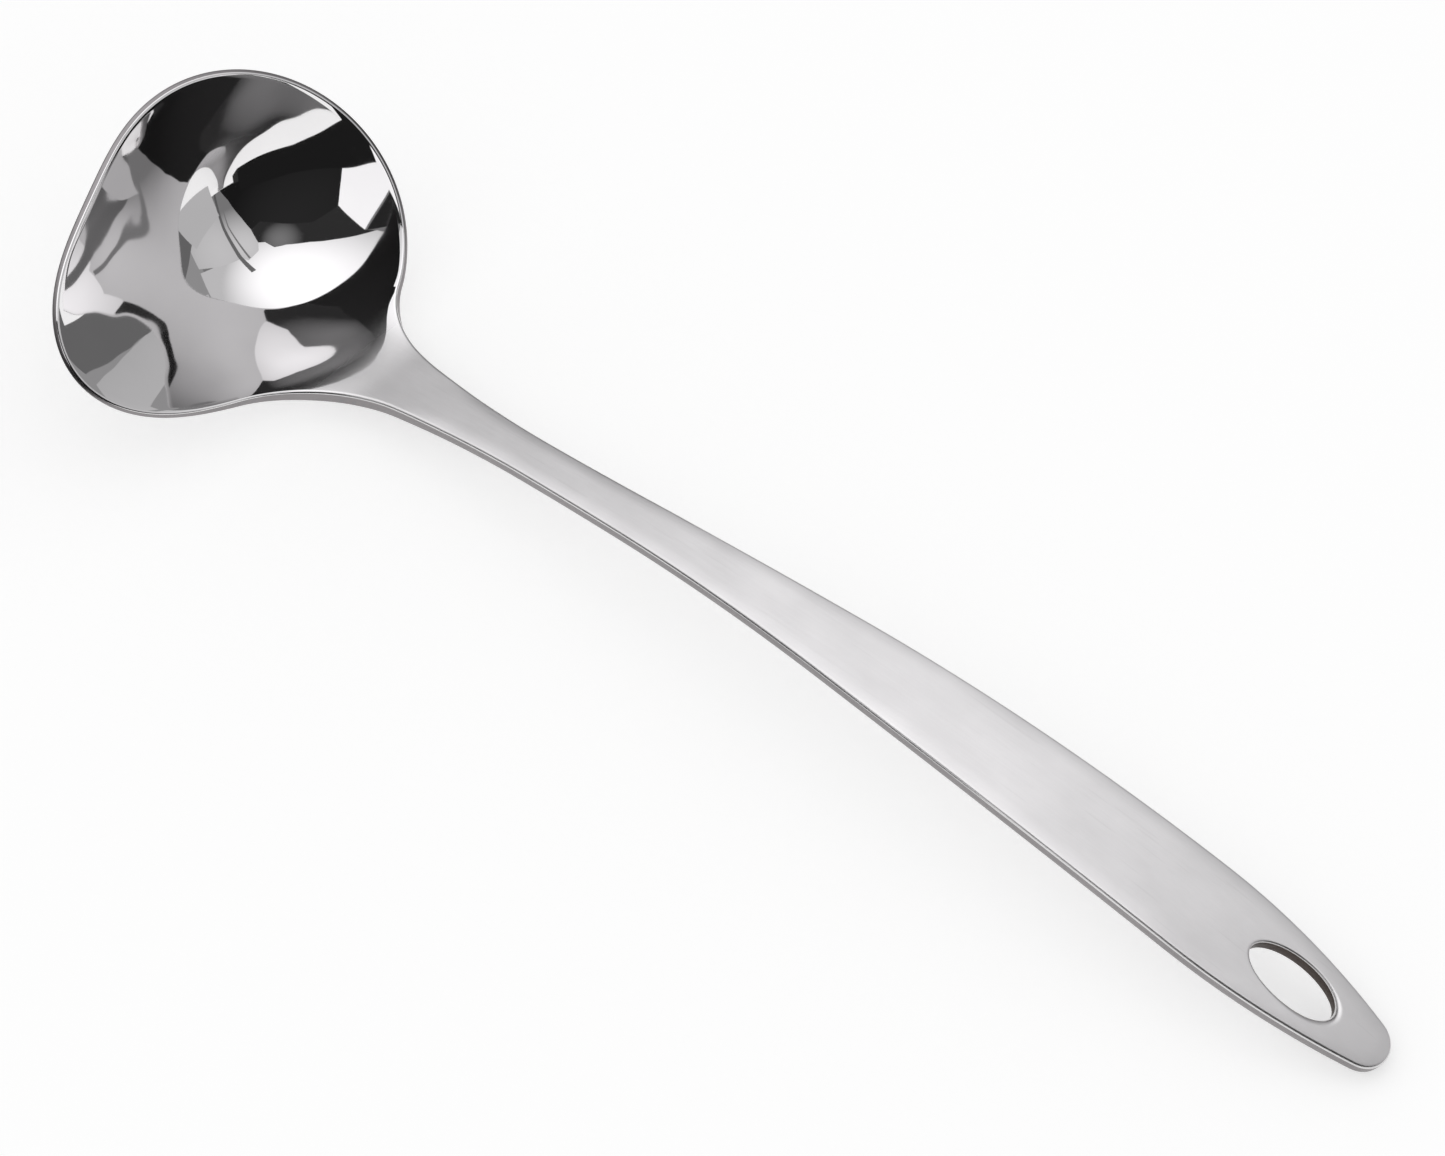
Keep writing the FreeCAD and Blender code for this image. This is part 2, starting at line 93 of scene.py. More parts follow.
@dataclass(frozen=True)
class EdgeSizes:
    """Softness of the edges and of the handle's face, in millimetres."""

    rim_radius: float = 0.42
    strap_radius: float = 0.62
    hole_radius: float = 0.4
    hole_worn_radius: float = 1.4
    hole_worn_bearing: float = -30.0
    crown_drop: float = 0.2
    crown_width: float = 3.0
    crown_fade: float = 14.0


@dataclass(frozen=True)
class MeshSteps:
    """How finely each part of the skin is divided."""

    neck_columns: int = 64
    rim_columns: int = 200
    bowl_rows: int = 64
    neck_rows: int = 30
    strap_rows: int = 190
    tip_columns: int = 150
    tip_rows: int = 18


class Finish(Enum):
    """Surface finishes that the skin's vertices are marked with."""

    BRUSHED = 0.0
    POLISHED = 1.0


def unit(vectors: np.ndarray) -> np.ndarray:
    """Give vectors a length of 1."""
    return vectors / np.linalg.norm(vectors, axis=-1, keepdims=True)


class PressedForm:
    """The rules that shape the pressed sheet, in the rim's and the handle's frames.

    The rim's frame has its origin on the bowl's axis and +X towards the handle. The
    handle's frame starts where the straight root would cross the rim's plane.
    """

    SLOPE_NUDGE = 0.01  # millimetres either way to measure a slope
    FLARE_NUDGE = 0.001  # radians along the rim to find its direction
    LEVEL_ROUNDS = 8  # Newton rounds, more than a level ever needs
    TIP_POINTS = 400  # points on one side of the tip's outline
    TIP_SIDE_POINTS = 300  # those of them that are used for the width

    def __init__(self, sizes: LadleSizes) -> None:
        """Work out the values that follow from the sizes.

        Args:
            sizes: Sizes of the ladle.
        """
        self.sizes = sizes
        self.rise = math.radians(sizes.handle_rise)
        self.lip = math.radians(sizes.lip_bearing)
        self.crossing = sizes.bowl_radius + sizes.root_setback
        # The bowl's height is a sum of level**2 and level**4, with the wall's angle at level 1.
        steepness = math.tan(math.radians(sizes.wall_angle)) * sizes.bowl_radius
        self.steepness = steepness / sizes.bowl_depth
        self.quadratic = (4.0 - self.steepness) / 2.0
        self.quartic = 1.0 - self.quadratic
        half_angle = math.radians(sizes.lip_half_angle)
        self.sharpness = math.log(2.0) / (1.0 - math.cos(half_angle))
        self.turn_start = sizes.bowl_radius * sizes.turn_start_share
        run = sizes.neck_end * sizes.turn_end_share
        self.turn_end = self.crossing + run * math.cos(self.rise)
        self.root_run = sizes.waist_distance - sizes.neck_end
        fall = (sizes.neck_width - sizes.waist_width) / 2.0
        self.root_radius = (self.root_run**2 + fall**2) / (2.0 * fall)
        self.root_taper = self.root_run / (self.root_radius - fall)
        self.hole_turn = (
            sizes.handle_length - sizes.hole_from_tip - sizes.straight_length
        ) / sizes.arch_radius
        self.hole_along = np.array([math.cos(self.hole_turn), 0.0, -math.sin(self.hole_turn)])
        self.hole_centre = np.array(
            [
                sizes.straight_length + sizes.arch_radius * math.sin(self.hole_turn),
                0.0,
                sizes.arch_radius * (math.cos(self.hole_turn) - 1.0),
            ]
        )

    def lip_share(self, bearing: np.ndarray) -> np.ndarray:
        """Give the lip's share of its reach, 0 to 1, at bearings in radians from the handle."""
        return np.exp(self.sharpness * (np.cos(bearing - self.lip) - 1.0))

    def smooth_step(self, value: np.ndarray, start: float, end: float) -> np.ndarray:
        """Rise from 0 at start to 1 at end with no kink at either."""
        t = np.clip((value - start) / (end - start), 0.0, 1.0)
        return t**3 * (t * (6.0 * t - 15.0) + 10.0)

    def radius_at(self, level: np.ndarray, bearing: np.ndarray) -> np.ndarray:
        """Give the distance from the bowl's axis at levels, 1 on the rim, and bearings."""
        reach = self.sizes.lip_reach * self.lip_share(bearing)
        return self.sizes.bowl_radius * level + reach * level**3

    def level_at(self, radius: np.ndarray, bearing: np.ndarray) -> np.ndarray:
        """Give the level on the bowl at a distance from its axis.

        Args:
            radius: Distances from the axis in millimetres.
            bearing: Bearings in radians.

        Returns:
            Levels, 1 on the rim.
        """
        reach = self.sizes.lip_reach * self.lip_share(bearing)
        bowl = self.sizes.bowl_radius
        level = radius / (bowl + reach)
        for _ in range(self.LEVEL_ROUNDS):
            miss = bowl * level + reach * level**3 - radius
            level = level - miss / (bowl + 3.0 * reach * level**2)
        return level

    def height(self, x: np.ndarray, y: np.ndarray) -> np.ndarray:
        """Give the height of the upper face over the rim's plane.

        Args:
            x: Places towards the handle in the rim's plane.
            y: Places across.

        Returns:
            Heights in millimetres.
        """
        bearing = np.arctan2(y, x)
        level = self.level_at(np.hypot(x, y), bearing)
        inside = self.quadratic * level**2 + self.quartic * level**4 - 1.0
        outside = self.steepness * (level - 1.0)
        bowl = self.sizes.bowl_depth * np.where(level < 1.0, inside, outside)
        bowl = bowl + self.sizes.lip_rise * self.lip_share(bearing) * level**4
        strap = (x - self.crossing) * math.tan(self.rise)
        share = self.smooth_step(x, self.turn_start, self.turn_end)
        return (1.0 - share) * bowl + share * strap

    def gauge(self, x: np.ndarray) -> np.ndarray:
        """Give the thickness of the sheet, thin in the bowl and thick in the handle.

        Args:
            x: Places towards the handle in the rim's plane.

        Returns:
            Thicknesses in millimetres.
        """
        start = self.sizes.bowl_radius * self.sizes.thickening_share
        grown = self.smooth_step(x, start, self.turn_end)
        return self.sizes.bowl_sheet + (self.sizes.handle_sheet - self.sizes.bowl_sheet) * grown

    def rim_skin(self, plan: np.ndarray) -> tuple[np.ndarray, np.ndarray]:
        """Lift plan points of the rim's frame to the upper face.

        Args:
            plan: Plan points, the last axis holding x and y.

        Returns:
            Points and unit normals in the handle's frame.
        """
        x, y = plan[..., 0], plan[..., 1]
        points = np.stack([x, y, self.height(x, y)], -1)
        step = self.SLOPE_NUDGE
        slope_x = (self.height(x + step, y) - self.height(x - step, y)) / (2.0 * step)
        slope_y = (self.height(x, y + step) - self.height(x, y - step)) / (2.0 * step)
        normals = unit(np.stack([-slope_x, -slope_y, np.ones_like(slope_x)], -1))
        shifted = points - np.array([self.crossing, 0.0, 0.0])
        return self.rim_to_handle(shifted), self.rim_to_handle(normals)

    def rim_to_handle(self, vectors: np.ndarray) -> np.ndarray:
        """Turn vectors of the rim's frame into the handle's frame.

        Args:
            vectors: Vectors, the last axis holding x, y and z.

        Returns:
            The turned vectors.
        """
        c, s = math.cos(self.rise), math.sin(self.rise)
        x, y, z = vectors[..., 0], vectors[..., 1], vectors[..., 2]
        return np.stack([x * c + z * s, y, z * c - x * s], -1)

    def handle_to_plan(self, points: np.ndarray) -> np.ndarray:
        """Give the plan places, in the rim's frame, of points of the handle's frame.

        Args:
            points: Points, the last axis holding x, y and z.

        Returns:
            Plan points, the last axis holding x and y.
        """
        c, s = math.cos(self.rise), math.sin(self.rise)
        x = points[..., 0] * c - points[..., 2] * s + self.crossing
        return np.stack([x, points[..., 1]], -1)

    def flare(self, bearing: float, side: float, share: np.ndarray) -> np.ndarray:
        """Give plan points on one edge of the neck, from the rim to the handle.

        Args:
            bearing: Bearing in degrees where the edge leaves the rim.
            side: 1 on the plain side, -1 on the lip's side.
            share: Places along the edge from 0 to 1.

        Returns:
            Plan points in the rim's frame.
        """
        start_bearing = math.radians(bearing)
        start = self.rim_plan(np.array(start_bearing))
        beside = self.rim_plan(np.array(start_bearing - side * self.FLARE_NUDGE))
        away = unit(beside - start)
        run = self.sizes.neck_end * math.cos(self.rise)
        end = np.array([self.crossing + run, side * self.sizes.neck_width / 2.0])
        pull = np.linalg.norm(end - start)
        arrival = pull * np.array([1.0, -side * self.root_taper / math.cos(self.rise)])
        t = np.asarray(share)[:, None]
        leave = (2.0 * t**3 - 3.0 * t**2 + 1.0) * start + (t**3 - 2.0 * t**2 + t) * away * pull
        return leave + (3.0 * t**2 - 2.0 * t**3) * end + (t**3 - t**2) * arrival

    def rim_plan(self, bearing: np.ndarray) -> np.ndarray:
        """Give plan points on the rim, in its own frame, at bearings in radians."""
        radius = self.radius_at(np.ones_like(bearing), bearing)
        return np.stack([radius * np.cos(bearing), radius * np.sin(bearing)], -1)

    def arch(self, s: np.ndarray) -> tuple[np.ndarray, np.ndarray]:
        """Give the height and the lean of the handle's upper face along it.

        Args:
            s: Places along the handle.

        Returns:
            Heights in millimetres and leans in radians.
        """
        radius = self.sizes.arch_radius
        past = np.clip(s - self.sizes.straight_length, 0.0, None)
        lean = np.arcsin(past / radius)
        return np.sqrt(radius**2 - past**2) - radius, lean

    def strap_skin(self, s: np.ndarray, y: np.ndarray) -> tuple[np.ndarray, np.ndarray]:
        """Lift places along and across the handle to its upper face.

        Args:
            s: Places along the handle.
            y: Places across it.

        Returns:
            Points and unit normals in the handle's frame.
        """
        z, lean = self.arch(s)
        points = np.stack([s, y, z], -1)
        normals = np.stack([np.sin(lean), np.zeros_like(lean), np.cos(lean)], -1)
        return points, normals

    def tip_skin(self, local: np.ndarray) -> tuple[np.ndarray, np.ndarray]:
        """Lift points of the plane that touches the handle at the hole to its face.

        Args:
            local: Plane points from the hole's centre, the last axis along and across.

        Returns:
            Points and unit normals in the handle's frame.
        """
        up = np.array([math.sin(self.hole_turn), 0.0, math.cos(self.hole_turn)])
        radius = self.sizes.arch_radius
        fall = radius - np.sqrt(radius**2 - local[..., :1] ** 2)
        across = np.array([0.0, 1.0, 0.0])
        points = self.hole_centre + local[..., :1] * self.hole_along
        points = points + local[..., 1:] * across - fall * up
        return self.strap_skin(points[..., 0], points[..., 1])

    def tip_local(self, points: np.ndarray) -> np.ndarray:
        """Give points of the handle's frame as plane points from the hole's centre."""
        return np.stack([(points - self.hole_centre) @ self.hole_along, points[..., 1]], -1)

    def tip_outline(self, count: int) -> np.ndarray:
        """Give one side of the tip's outline, from the shoulder to the end.

        Args:
            count: Number of points.

        Returns:
            Plane points from the hole's centre, on the plain side.
        """
        sizes = self.sizes
        half = sizes.shoulder_width / 2.0
        start = sizes.hole_from_tip - sizes.shoulder_from_tip
        centre = sizes.hole_from_tip - sizes.tip_radius
        run = centre - start
        radius = (run**2 + half**2 - sizes.tip_radius**2) / (2.0 * (half - sizes.tip_radius))
        turn = math.asin(run / (radius - sizes.tip_radius))
        long = radius * turn
        short = sizes.tip_radius * (math.pi / 2.0 - turn)
        at = np.linspace(0.0, long + short, count)
        a = np.minimum(at, long) / radius
        b = np.pi / 2.0 - turn - np.clip(at - long, 0.0, None) / sizes.tip_radius
        side = np.stack([start + radius * np.sin(a), half - radius + radius * np.cos(a)], -1)
        end = np.stack([centre + sizes.tip_radius * np.cos(b), sizes.tip_radius * np.sin(b)], -1)
        return np.where((at <= long)[:, None], side, end)

    def half_width(self, s: np.ndarray) -> np.ndarray:
        """Give half the handle's width along it, as far as the hole's start.

        Args:
            s: Places along the handle.

        Returns:
            Half widths in millimetres.
        """
        sizes = self.sizes
        waist, shoulder = sizes.waist_width / 2.0, sizes.shoulder_width / 2.0
        outline = self.tip_outline(self.TIP_POINTS)[: self.TIP_SIDE_POINTS]
        tip, _ = self.tip_skin(outline)
        reach = tip[0, 0] - sizes.waist_distance
        swell = (reach**2 + (shoulder - waist) ** 2) / (4.0 * (shoulder - waist))
        past = s - sizes.waist_distance
        root = waist + self.root_radius
        root = root - np.sqrt(self.root_radius**2 - np.minimum(past, 0.0) ** 2)
        low = waist + swell - np.sqrt(swell**2 - np.clip(past, 0.0, reach / 2.0) ** 2)
        high = shoulder - swell
        high = high + np.sqrt(swell**2 - np.clip(reach - past, 0.0, reach / 2.0) ** 2)
        width = np.where(past < 0.0, root, np.where(past < reach / 2.0, low, high))
        return np.where(past < reach, width, np.interp(s, tip[:, 0], tip[:, 1]))

    def to_frame(self, vectors: np.ndarray, place: bool) -> np.ndarray:
        """Turn vectors of the handle's frame into the frame the ladle lies in.

        Args:
            vectors: Vectors, the last axis holding x, y and z.
            place: Whether they are points, which are also moved and put in metres.

        Returns:
            The turned vectors, or the points in metres.
        """
        tilt = math.radians(self.sizes.tilt)
        c, s = math.cos(tilt), math.sin(tilt)
        x, y, z = vectors[..., 0], vectors[..., 1], vectors[..., 2]
        turned = np.stack([x * c - z * s, y, x * s + z * c], -1)
        return (turned + np.array(self.sizes.base)) * MM if place else turned


class Skin:
    """The upper skin of the sheet, gathered as vertices, marks and faces."""

    MARKS = ("point", "normal", "outward", "gauge", "corner", "polish", "punched_and_shade")

    def __init__(self) -> None:
        """Start with no vertices."""
        self.count = 0
        self.columns: dict[str, list[np.ndarray]] = {name: [] for name in self.MARKS}
        self.faces: list[tuple[int, ...]] = []

    def add(
        self,
        points: np.ndarray,
        normals: np.ndarray,
        gauge: np.ndarray,
        polish: np.ndarray,
    ) -> np.ndarray:
        """Add vertices that lie inside the outline.

        Args:
            points: Points in the handle's frame.
            normals: Unit normals there.
            gauge: Thickness of the sheet there.
            polish: Share of the polished finish there.

        Returns:
            Numbers of the new vertices, in the points' own order.
        """
        shape = points.shape[:-1]
        number = int(np.prod(shape))
        values = (
            points.reshape(-1, 3),
            normals.reshape(-1, 3),
            np.zeros((number, 3)),
            np.broadcast_to(gauge, shape).reshape(-1),
            np.zeros(number),
            np.broadcast_to(polish, shape).reshape(-1),
            np.zeros(number),
        )
        for name, value in zip(self.MARKS, values):
            self.columns[name].append(value)
        first = self.count
        self.count += number
        return np.arange(first, self.count).reshape(shape)

    def merged(self) -> dict[str, np.ndarray]:
        """Give each mark as one array over all the vertices, by its name."""
        return {name: np.concatenate(parts) for name, parts in self.columns.items()}

    def join(self, rows: np.ndarray) -> None:
        """Fill a grid of vertices with four-sided faces.

        Args:
            rows: Vertex numbers in rows and columns.
        """
        a, b = rows[:-1, :-1].ravel(), rows[1:, :-1].ravel()
        c, d = rows[1:, 1:].ravel(), rows[:-1, 1:].ravel()
        self.faces += list(zip(a.tolist(), b.tolist(), c.tolist(), d.tolist()))


def across_edge(
    along: np.ndarray, points: np.ndarray, normals: np.ndarray, inner: np.ndarray
) -> np.ndarray:
    """Give the direction in the skin that leads out across an edge.

    Args:
        along: Directions along the edge.
        points: Points of the edge.
        normals: Unit normals of the skin there.
        inner: A point that lies inside the edge, or one for each of its points.

    Returns:
        Unit vectors that point away from the skin.
    """
    out = unit(np.cross(along, normals))
    return out * np.sign(np.sum(out * (points - inner), -1, keepdims=True))


def store_mark(mesh: bpy.types.Mesh, name: str, values: np.ndarray) -> None:
    """Store a number or a vector for each vertex of a mesh.

    Args:
        mesh: The mesh.
        name: Name of the mark.
        values: The numbers, or the vectors in rows.
    """
    kind, field = ("FLOAT_VECTOR", "vector") if values.ndim > 1 else ("FLOAT", "value")
    layer = mesh.attributes.new(name, kind, "POINT")
    layer.data.foreach_set(field, values.astype(np.float32).ravel())


def put_in_scene(name: str, data: bpy.types.ID) -> bpy.types.Object:
    """Make an object of a mesh or a camera, in the scene.

    Args:
        name: Name of the object.
        data: The mesh or the camera.

    Returns:
        The object.
    """
    made = bpy.data.objects.new(name, data)
    bpy.context.collection.objects.link(made)
    return made


class LadleSheet:
    """The visible ladle: its skin, its thickness and its finish."""

    POLISH_BEFORE = 4.0  # millimetres before the handle's crossing where the polish fades
    POLISH_PAST = 9.0  # millimetres past it where the polish has gone
    RIM_NUDGE = 0.0005  # radians along the rim to find its direction
    SIDE_NUDGE = 0.002  # share of the neck's edge to find its direction
    TIP_LEAD = 3.0  # millimetres past the shoulder where the tip's part begins
    OUTLINE_POINTS = 1200  # points on one side of the tip's outline
    OUTLINE_SKIP = 12  # every so many of them serve for the distance to the outline
    RING_CROWDING = 1.25  # how the rings crowd towards the hole, 1 for even
    WEAR_FOCUS = 4  # how narrowly the hole's wear stays at its bearing

    def __init__(self, sizes: LadleSizes, edges: EdgeSizes, steps: MeshSteps) -> None:
        """Keep the sizes and the form.

        Args:
            sizes: Sizes of the ladle.
            edges: Softness of its edges.
            steps: How finely the skin is divided.
        """
        self.sizes = sizes
        self.edges = edges
        self.steps = steps
        self.form = PressedForm(sizes)
        self.skin = Skin()
        self.outline: list[tuple[np.ndarray, ...]] = []

    def corner_at(self, points: np.ndarray) -> np.ndarray:
        """Give the softness of the outline's corner, larger on the handle.

        Args:
            points: Points in the handle's frame.

        Returns:
            Corner radii in millimetres.
        """
        x = self.form.handle_to_plan(points)[..., 0]
        grown = self.form.smooth_step(x, self.form.turn_start, self.form.turn_end)
        extra = self.edges.strap_radius - self.edges.rim_radius
        return self.edges.rim_radius + extra * grown

    def polish_at(self, points: np.ndarray) -> np.ndarray:
        """Give the share of the polished finish, which fades through the neck.

        Args:
            points: Points in the handle's frame.

        Returns:
            Shares from 0 to 1.
        """
        x = self.form.handle_to_plan(points)[..., 0]
        start = self.form.crossing - self.POLISH_BEFORE
        end = self.form.crossing + self.POLISH_PAST
        brushed = self.form.smooth_step(x, start, end)
        span = Finish.BRUSHED.value - Finish.POLISHED.value
        return Finish.POLISHED.value + span * brushed

    def inset(self, points: np.ndarray, outward: np.ndarray) -> np.ndarray:
        """Step points of the outline back by the corner's radius, against outward."""
        return points - outward * self.corner_at(points)[..., None]

    def add_bowl(self) -> tuple[np.ndarray, np.ndarray]:
        """Lay the bowl out in rings round its lowest point.

        Returns:
            Vertex numbers of the last ring and its plan points.
        """
        form, steps = self.form, self.steps
        lip, plain = math.radians(self.sizes.flare_lip), math.radians(self.sizes.flare_plain)
        neck = np.linspace(lip, plain, steps.neck_columns + 1)
        rest = np.linspace(plain, lip + 2.0 * math.pi, steps.rim_columns + 1)[1:-1]
        bearing = np.concatenate([neck, rest])
        rim, normal = form.rim_skin(form.rim_plan(bearing))
        ahead, _ = form.rim_skin(form.rim_plan(bearing + self.RIM_NUDGE))
        centre, _ = form.rim_skin(np.array([0.0, 0.0]))
        out = across_edge(ahead - rim, rim, normal, centre)
        plan = form.handle_to_plan(self.inset(rim, out))
        inner_bearing = np.arctan2(plan[:, 1], plan[:, 0])
        last = form.level_at(np.hypot(plan[:, 0], plan[:, 1]), inner_bearing)
        share = np.arange(1, steps.bowl_rows + 1)[:, None] / steps.bowl_rows
        radius = form.radius_at(share * last, inner_bearing)
        grid = np.stack([radius * np.cos(inner_bearing), radius * np.sin(inner_bearing)], -1)
        points, normals = form.rim_skin(grid)
        rings = self.skin.add(points, normals, form.gauge(grid[..., 0]), self.polish_at(points))
        self.skin.join(np.concatenate([rings, rings[:, :1]], 1))
        low, low_normal = form.rim_skin(np.zeros((1, 2)))
        pole = self.skin.add(low, low_normal, form.gauge(np.zeros(1)), np.ones(1))
        ring = rings[0].tolist()
        self.skin.faces += [
            (int(pole[0]), a, b) for a, b in zip(ring, ring[1:] + ring[:1])
        ]
        edge = slice(steps.neck_columns, None)
        self.mark(rings[-1, edge], out[edge], rim[edge])
        self.mark(rings[-1, :1], out[:1], rim[:1])
        return rings[-1], plan

    def mark(self, numbers: np.ndarray, outward: np.ndarray, at: np.ndarray) -> None:
        """Note that vertices stand on the outline, with the directions out across it."""
        self.outline.append((numbers, outward, self.corner_at(at), np.zeros(len(numbers))))

    def side_inset(self, side: float) -> tuple[np.ndarray, np.ndarray, np.ndarray]:
        """Step one edge of the neck back from the outline.

        Args:
            side: 1 on the plain side, -1 on the lip's side.

        Returns:
            Plan points, outward directions and points of the outline.
        """
        bearing = self.sizes.flare_plain if side > 0 else self.sizes.flare_lip
        share = np.linspace(0.0, 1.0, self.steps.neck_rows + 1)
        near = np.clip(np.stack([share - self.SIDE_NUDGE, share + self.SIDE_NUDGE]), 0.0, 1.0)
        points, normals = self.form.rim_skin(self.form.flare(bearing, side, share))
        before, _ = self.form.rim_skin(self.form.flare(bearing, side, near[0]))
        after, _ = self.form.rim_skin(self.form.flare(bearing, side, near[1]))
        inner = points - np.array([0.0, side, 0.0])
        out = across_edge(after - before, points, normals, inner)
        return self.form.handle_to_plan(self.inset(points, out)), out, points

    def add_neck(self, ring: np.ndarray, ring_plan: np.ndarray) -> np.ndarray:
        """Lay the neck out between the bowl's last ring and the handle.

        Args:
            ring: Vertex numbers of the bowl's last ring.
            ring_plan: Plan points of that ring.

        Returns:
            Vertex numbers across the end of the neck.
        """
        columns = self.steps.neck_columns + 1
        low, low_out, low_at = self.side_inset(-1.0)
        high, high_out, high_at = self.side_inset(1.0)
        u = np.linspace(0.0, 1.0, columns)[None, :, None]
        t = np.linspace(0.0, 1.0, self.steps.neck_rows + 1)[:, None, None]
        seam = ring_plan[None, :columns]
        end = low[-1] * (1.0 - u) + high[-1] * u
        sides = low[:, None] * (1.0 - u) + high[:, None] * u
        ends = seam * (1.0 - t) + end * t
        corners = (seam[:, :1] * (1.0 - u) + seam[:, -1:] * u) * (1.0 - t) + end * t
        grid = (sides + ends - corners)[1:]
        points, normals = self.form.rim_skin(grid)
        gauge = self.form.gauge(grid[..., 0])
        rows = self.skin.add(points, normals, gauge, self.polish_at(points))
        self.skin.join(np.concatenate([ring[None, :columns], rows]))
        self.mark(rows[:, 0], low_out[1:], low_at[1:])
        self.mark(rows[:, -1], high_out[1:], high_at[1:])
        return rows[-1]

    def crowned(
        self, points: np.ndarray, normals: np.ndarray, distance: np.ndarray
    ) -> tuple[np.ndarray, np.ndarray]:
        """Let the handle's face fall a little towards its outline.

        Args:
            points: Points on the flat face.
            normals: Unit normals there.
            distance: Distances from the outline.

        Returns:
            The lowered points and the thickness left there.
        """
        edges = self.edges
        share = np.clip(1.0 - distance / edges.crown_width, 0.0, 1.0) ** 2
        start = self.sizes.neck_end
        fade = self.form.smooth_step(points[..., 0], start, start + edges.crown_fade)
        fall = edges.crown_drop * share * fade
        return points - normals * fall[..., None], self.sizes.handle_sheet - 2.0 * fall

    def add_strap(self, chord: np.ndarray, far: float) -> np.ndarray:
        """Lay the handle out from the neck to just before the hole.

        Args:
            chord: Vertex numbers across the end of the neck.
            far: Place along the handle where the tip's part begins.

        Returns:
            Vertex numbers across the far end.
        """
        rows = self.steps.strap_rows
        s = np.linspace(self.sizes.neck_end, far, rows + 1)[1:]
        half = self.form.half_width(s)
        inner = half - self.edges.strap_radius
        u = np.linspace(-1.0, 1.0, self.steps.neck_columns + 1)
        y = inner[:, None] * u
        points, normals = self.form.strap_skin(np.broadcast_to(s[:, None], y.shape), y)
        points, gauge = self.crowned(points, normals, half[:, None] - np.abs(y))
        numbers = self.skin.add(points, normals, gauge, self.polish_at(points))
        self.skin.join(np.concatenate([chord[None], numbers]))
        for column, side in ((0, -1.0), (-1, 1.0)):
            edge, normal = self.form.strap_skin(s, side * half)
            inside = edge - np.array([0.0, side, 0.0])
            out = across_edge(np.gradient(edge, axis=0), edge, normal, inside)
            self.mark(numbers[:, column], out, edge)
        return numbers[-1]

    def tip_loop(self, far: float) -> np.ndarray:
        """Give the tip's whole outline, from one side of the handle round to the other.

        Args:
            far: Place along the handle where the tip's part begins.

        Returns:
            Plane points from the hole's centre.
        """
        form = self.form
        side = form.tip_outline(self.OUTLINE_POINTS)
        first, _ = form.strap_skin(np.array([far]), form.half_width(np.array([far])))
        start = form.tip_local(first)
        side = np.concatenate([start, side[side[:, 0] > start[0, 0]]])
        return np.concatenate([side, (side * np.array([1.0, -1.0]))[::-1][1:]])

    def hole_edge(self, ring: np.ndarray) -> tuple[np.ndarray, np.ndarray, np.ndarray]:
        """Give the edge of the hanging hole, one place for each of a ring round it.

        Args:
            ring: Plane points from the hole's centre.

        Returns:
            Points just outside the rounded edge, directions into the hole and radii.
        """
        long, short = self.sizes.hole_length / 2.0, self.sizes.hole_width / 2.0
        phase = np.arctan2(ring[:, 1] / short, ring[:, 0] / long)
        hole = np.stack([long * np.cos(phase), short * np.sin(phase)], -1)
        inward = -unit(np.stack([np.cos(phase) / long, np.sin(phase) / short], -1))
        edges = self.edges
        worn = 0.5 + 0.5 * np.cos(phase - math.radians(edges.hole_worn_bearing))
        extra = edges.hole_worn_radius - edges.hole_radius
        radii = edges.hole_radius + extra * worn**self.WEAR_FOCUS
        return hole - inward * radii[:, None], inward, radii

    def add_tip(self, chord: np.ndarray, far: float) -> None:
        """Lay the tip out in rings round the hanging hole.

        Args:
            chord: Vertex numbers across the far end of the handle's main part.
            far: Place along the handle of that end.
        """
        form, steps, edges = self.form, self.steps, self.edges
        loop = self.tip_loop(far)
        run = np.concatenate([[0.0], np.cumsum(np.linalg.norm(np.diff(loop, axis=0), axis=1))])
        at = np.linspace(0.0, run[-1], steps.tip_columns + 2)
        outer = np.stack([np.interp(at, run, loop[:, k]) for k in (0, 1)], -1)
        points, normals = form.tip_skin(outer)
        middle, _ = form.tip_skin(np.zeros((1, 2)))
        out = across_edge(np.gradient(points, axis=0), points, normals, middle)[1:-1]
        inset = form.tip_local(self.inset(points[1:-1], out))
        half = form.half_width(np.array([far]))[0] - edges.strap_radius
        y = np.linspace(-half, half, steps.neck_columns + 1)
        chord_point, _ = form.strap_skin(np.full_like(y, far), y)
        ring = np.concatenate([form.tip_local(chord_point), inset])
        border, inward, radii = self.hole_edge(ring)
        share = (np.arange(1, steps.tip_rows + 1) / steps.tip_rows)[:, None, None]
        share = 1.0 - (1.0 - share) ** self.RING_CROWDING
        grid = ring * (1.0 - share) + border * share
        points, normals = form.tip_skin(grid)
        gap = np.linalg.norm(grid[..., None, :] - loop[:: self.OUTLINE_SKIP], axis=-1).min(-1)
        points, gauge = self.crowned(points, normals, gap)
        numbers = self.skin.add(points, normals, gauge, self.polish_at(points))
        flat_edge, edge_normal = form.tip_skin(inset)
        edge_gap = np.full(len(inset), edges.strap_radius)
        edge_points, edge_gauge = self.crowned(flat_edge, edge_normal, edge_gap)
        edge = self.skin.add(edge_points, edge_normal, edge_gauge, self.polish_at(edge_points))
        rows = np.concatenate([np.concatenate([chord, edge])[None], numbers])
        self.skin.join(np.concatenate([rows, rows[:, :1]], 1))
        self.mark(edge, out, points[0, : len(edge)])
        plane = np.array([form.hole_along, [0.0, 1.0, 0.0]])
        # The hole's edge is marked 1, so its punched wall gets painted shade that makes it nearly
        # black
        self.outline.append((numbers[-1], inward @ plane, radii, np.ones(len(radii))))

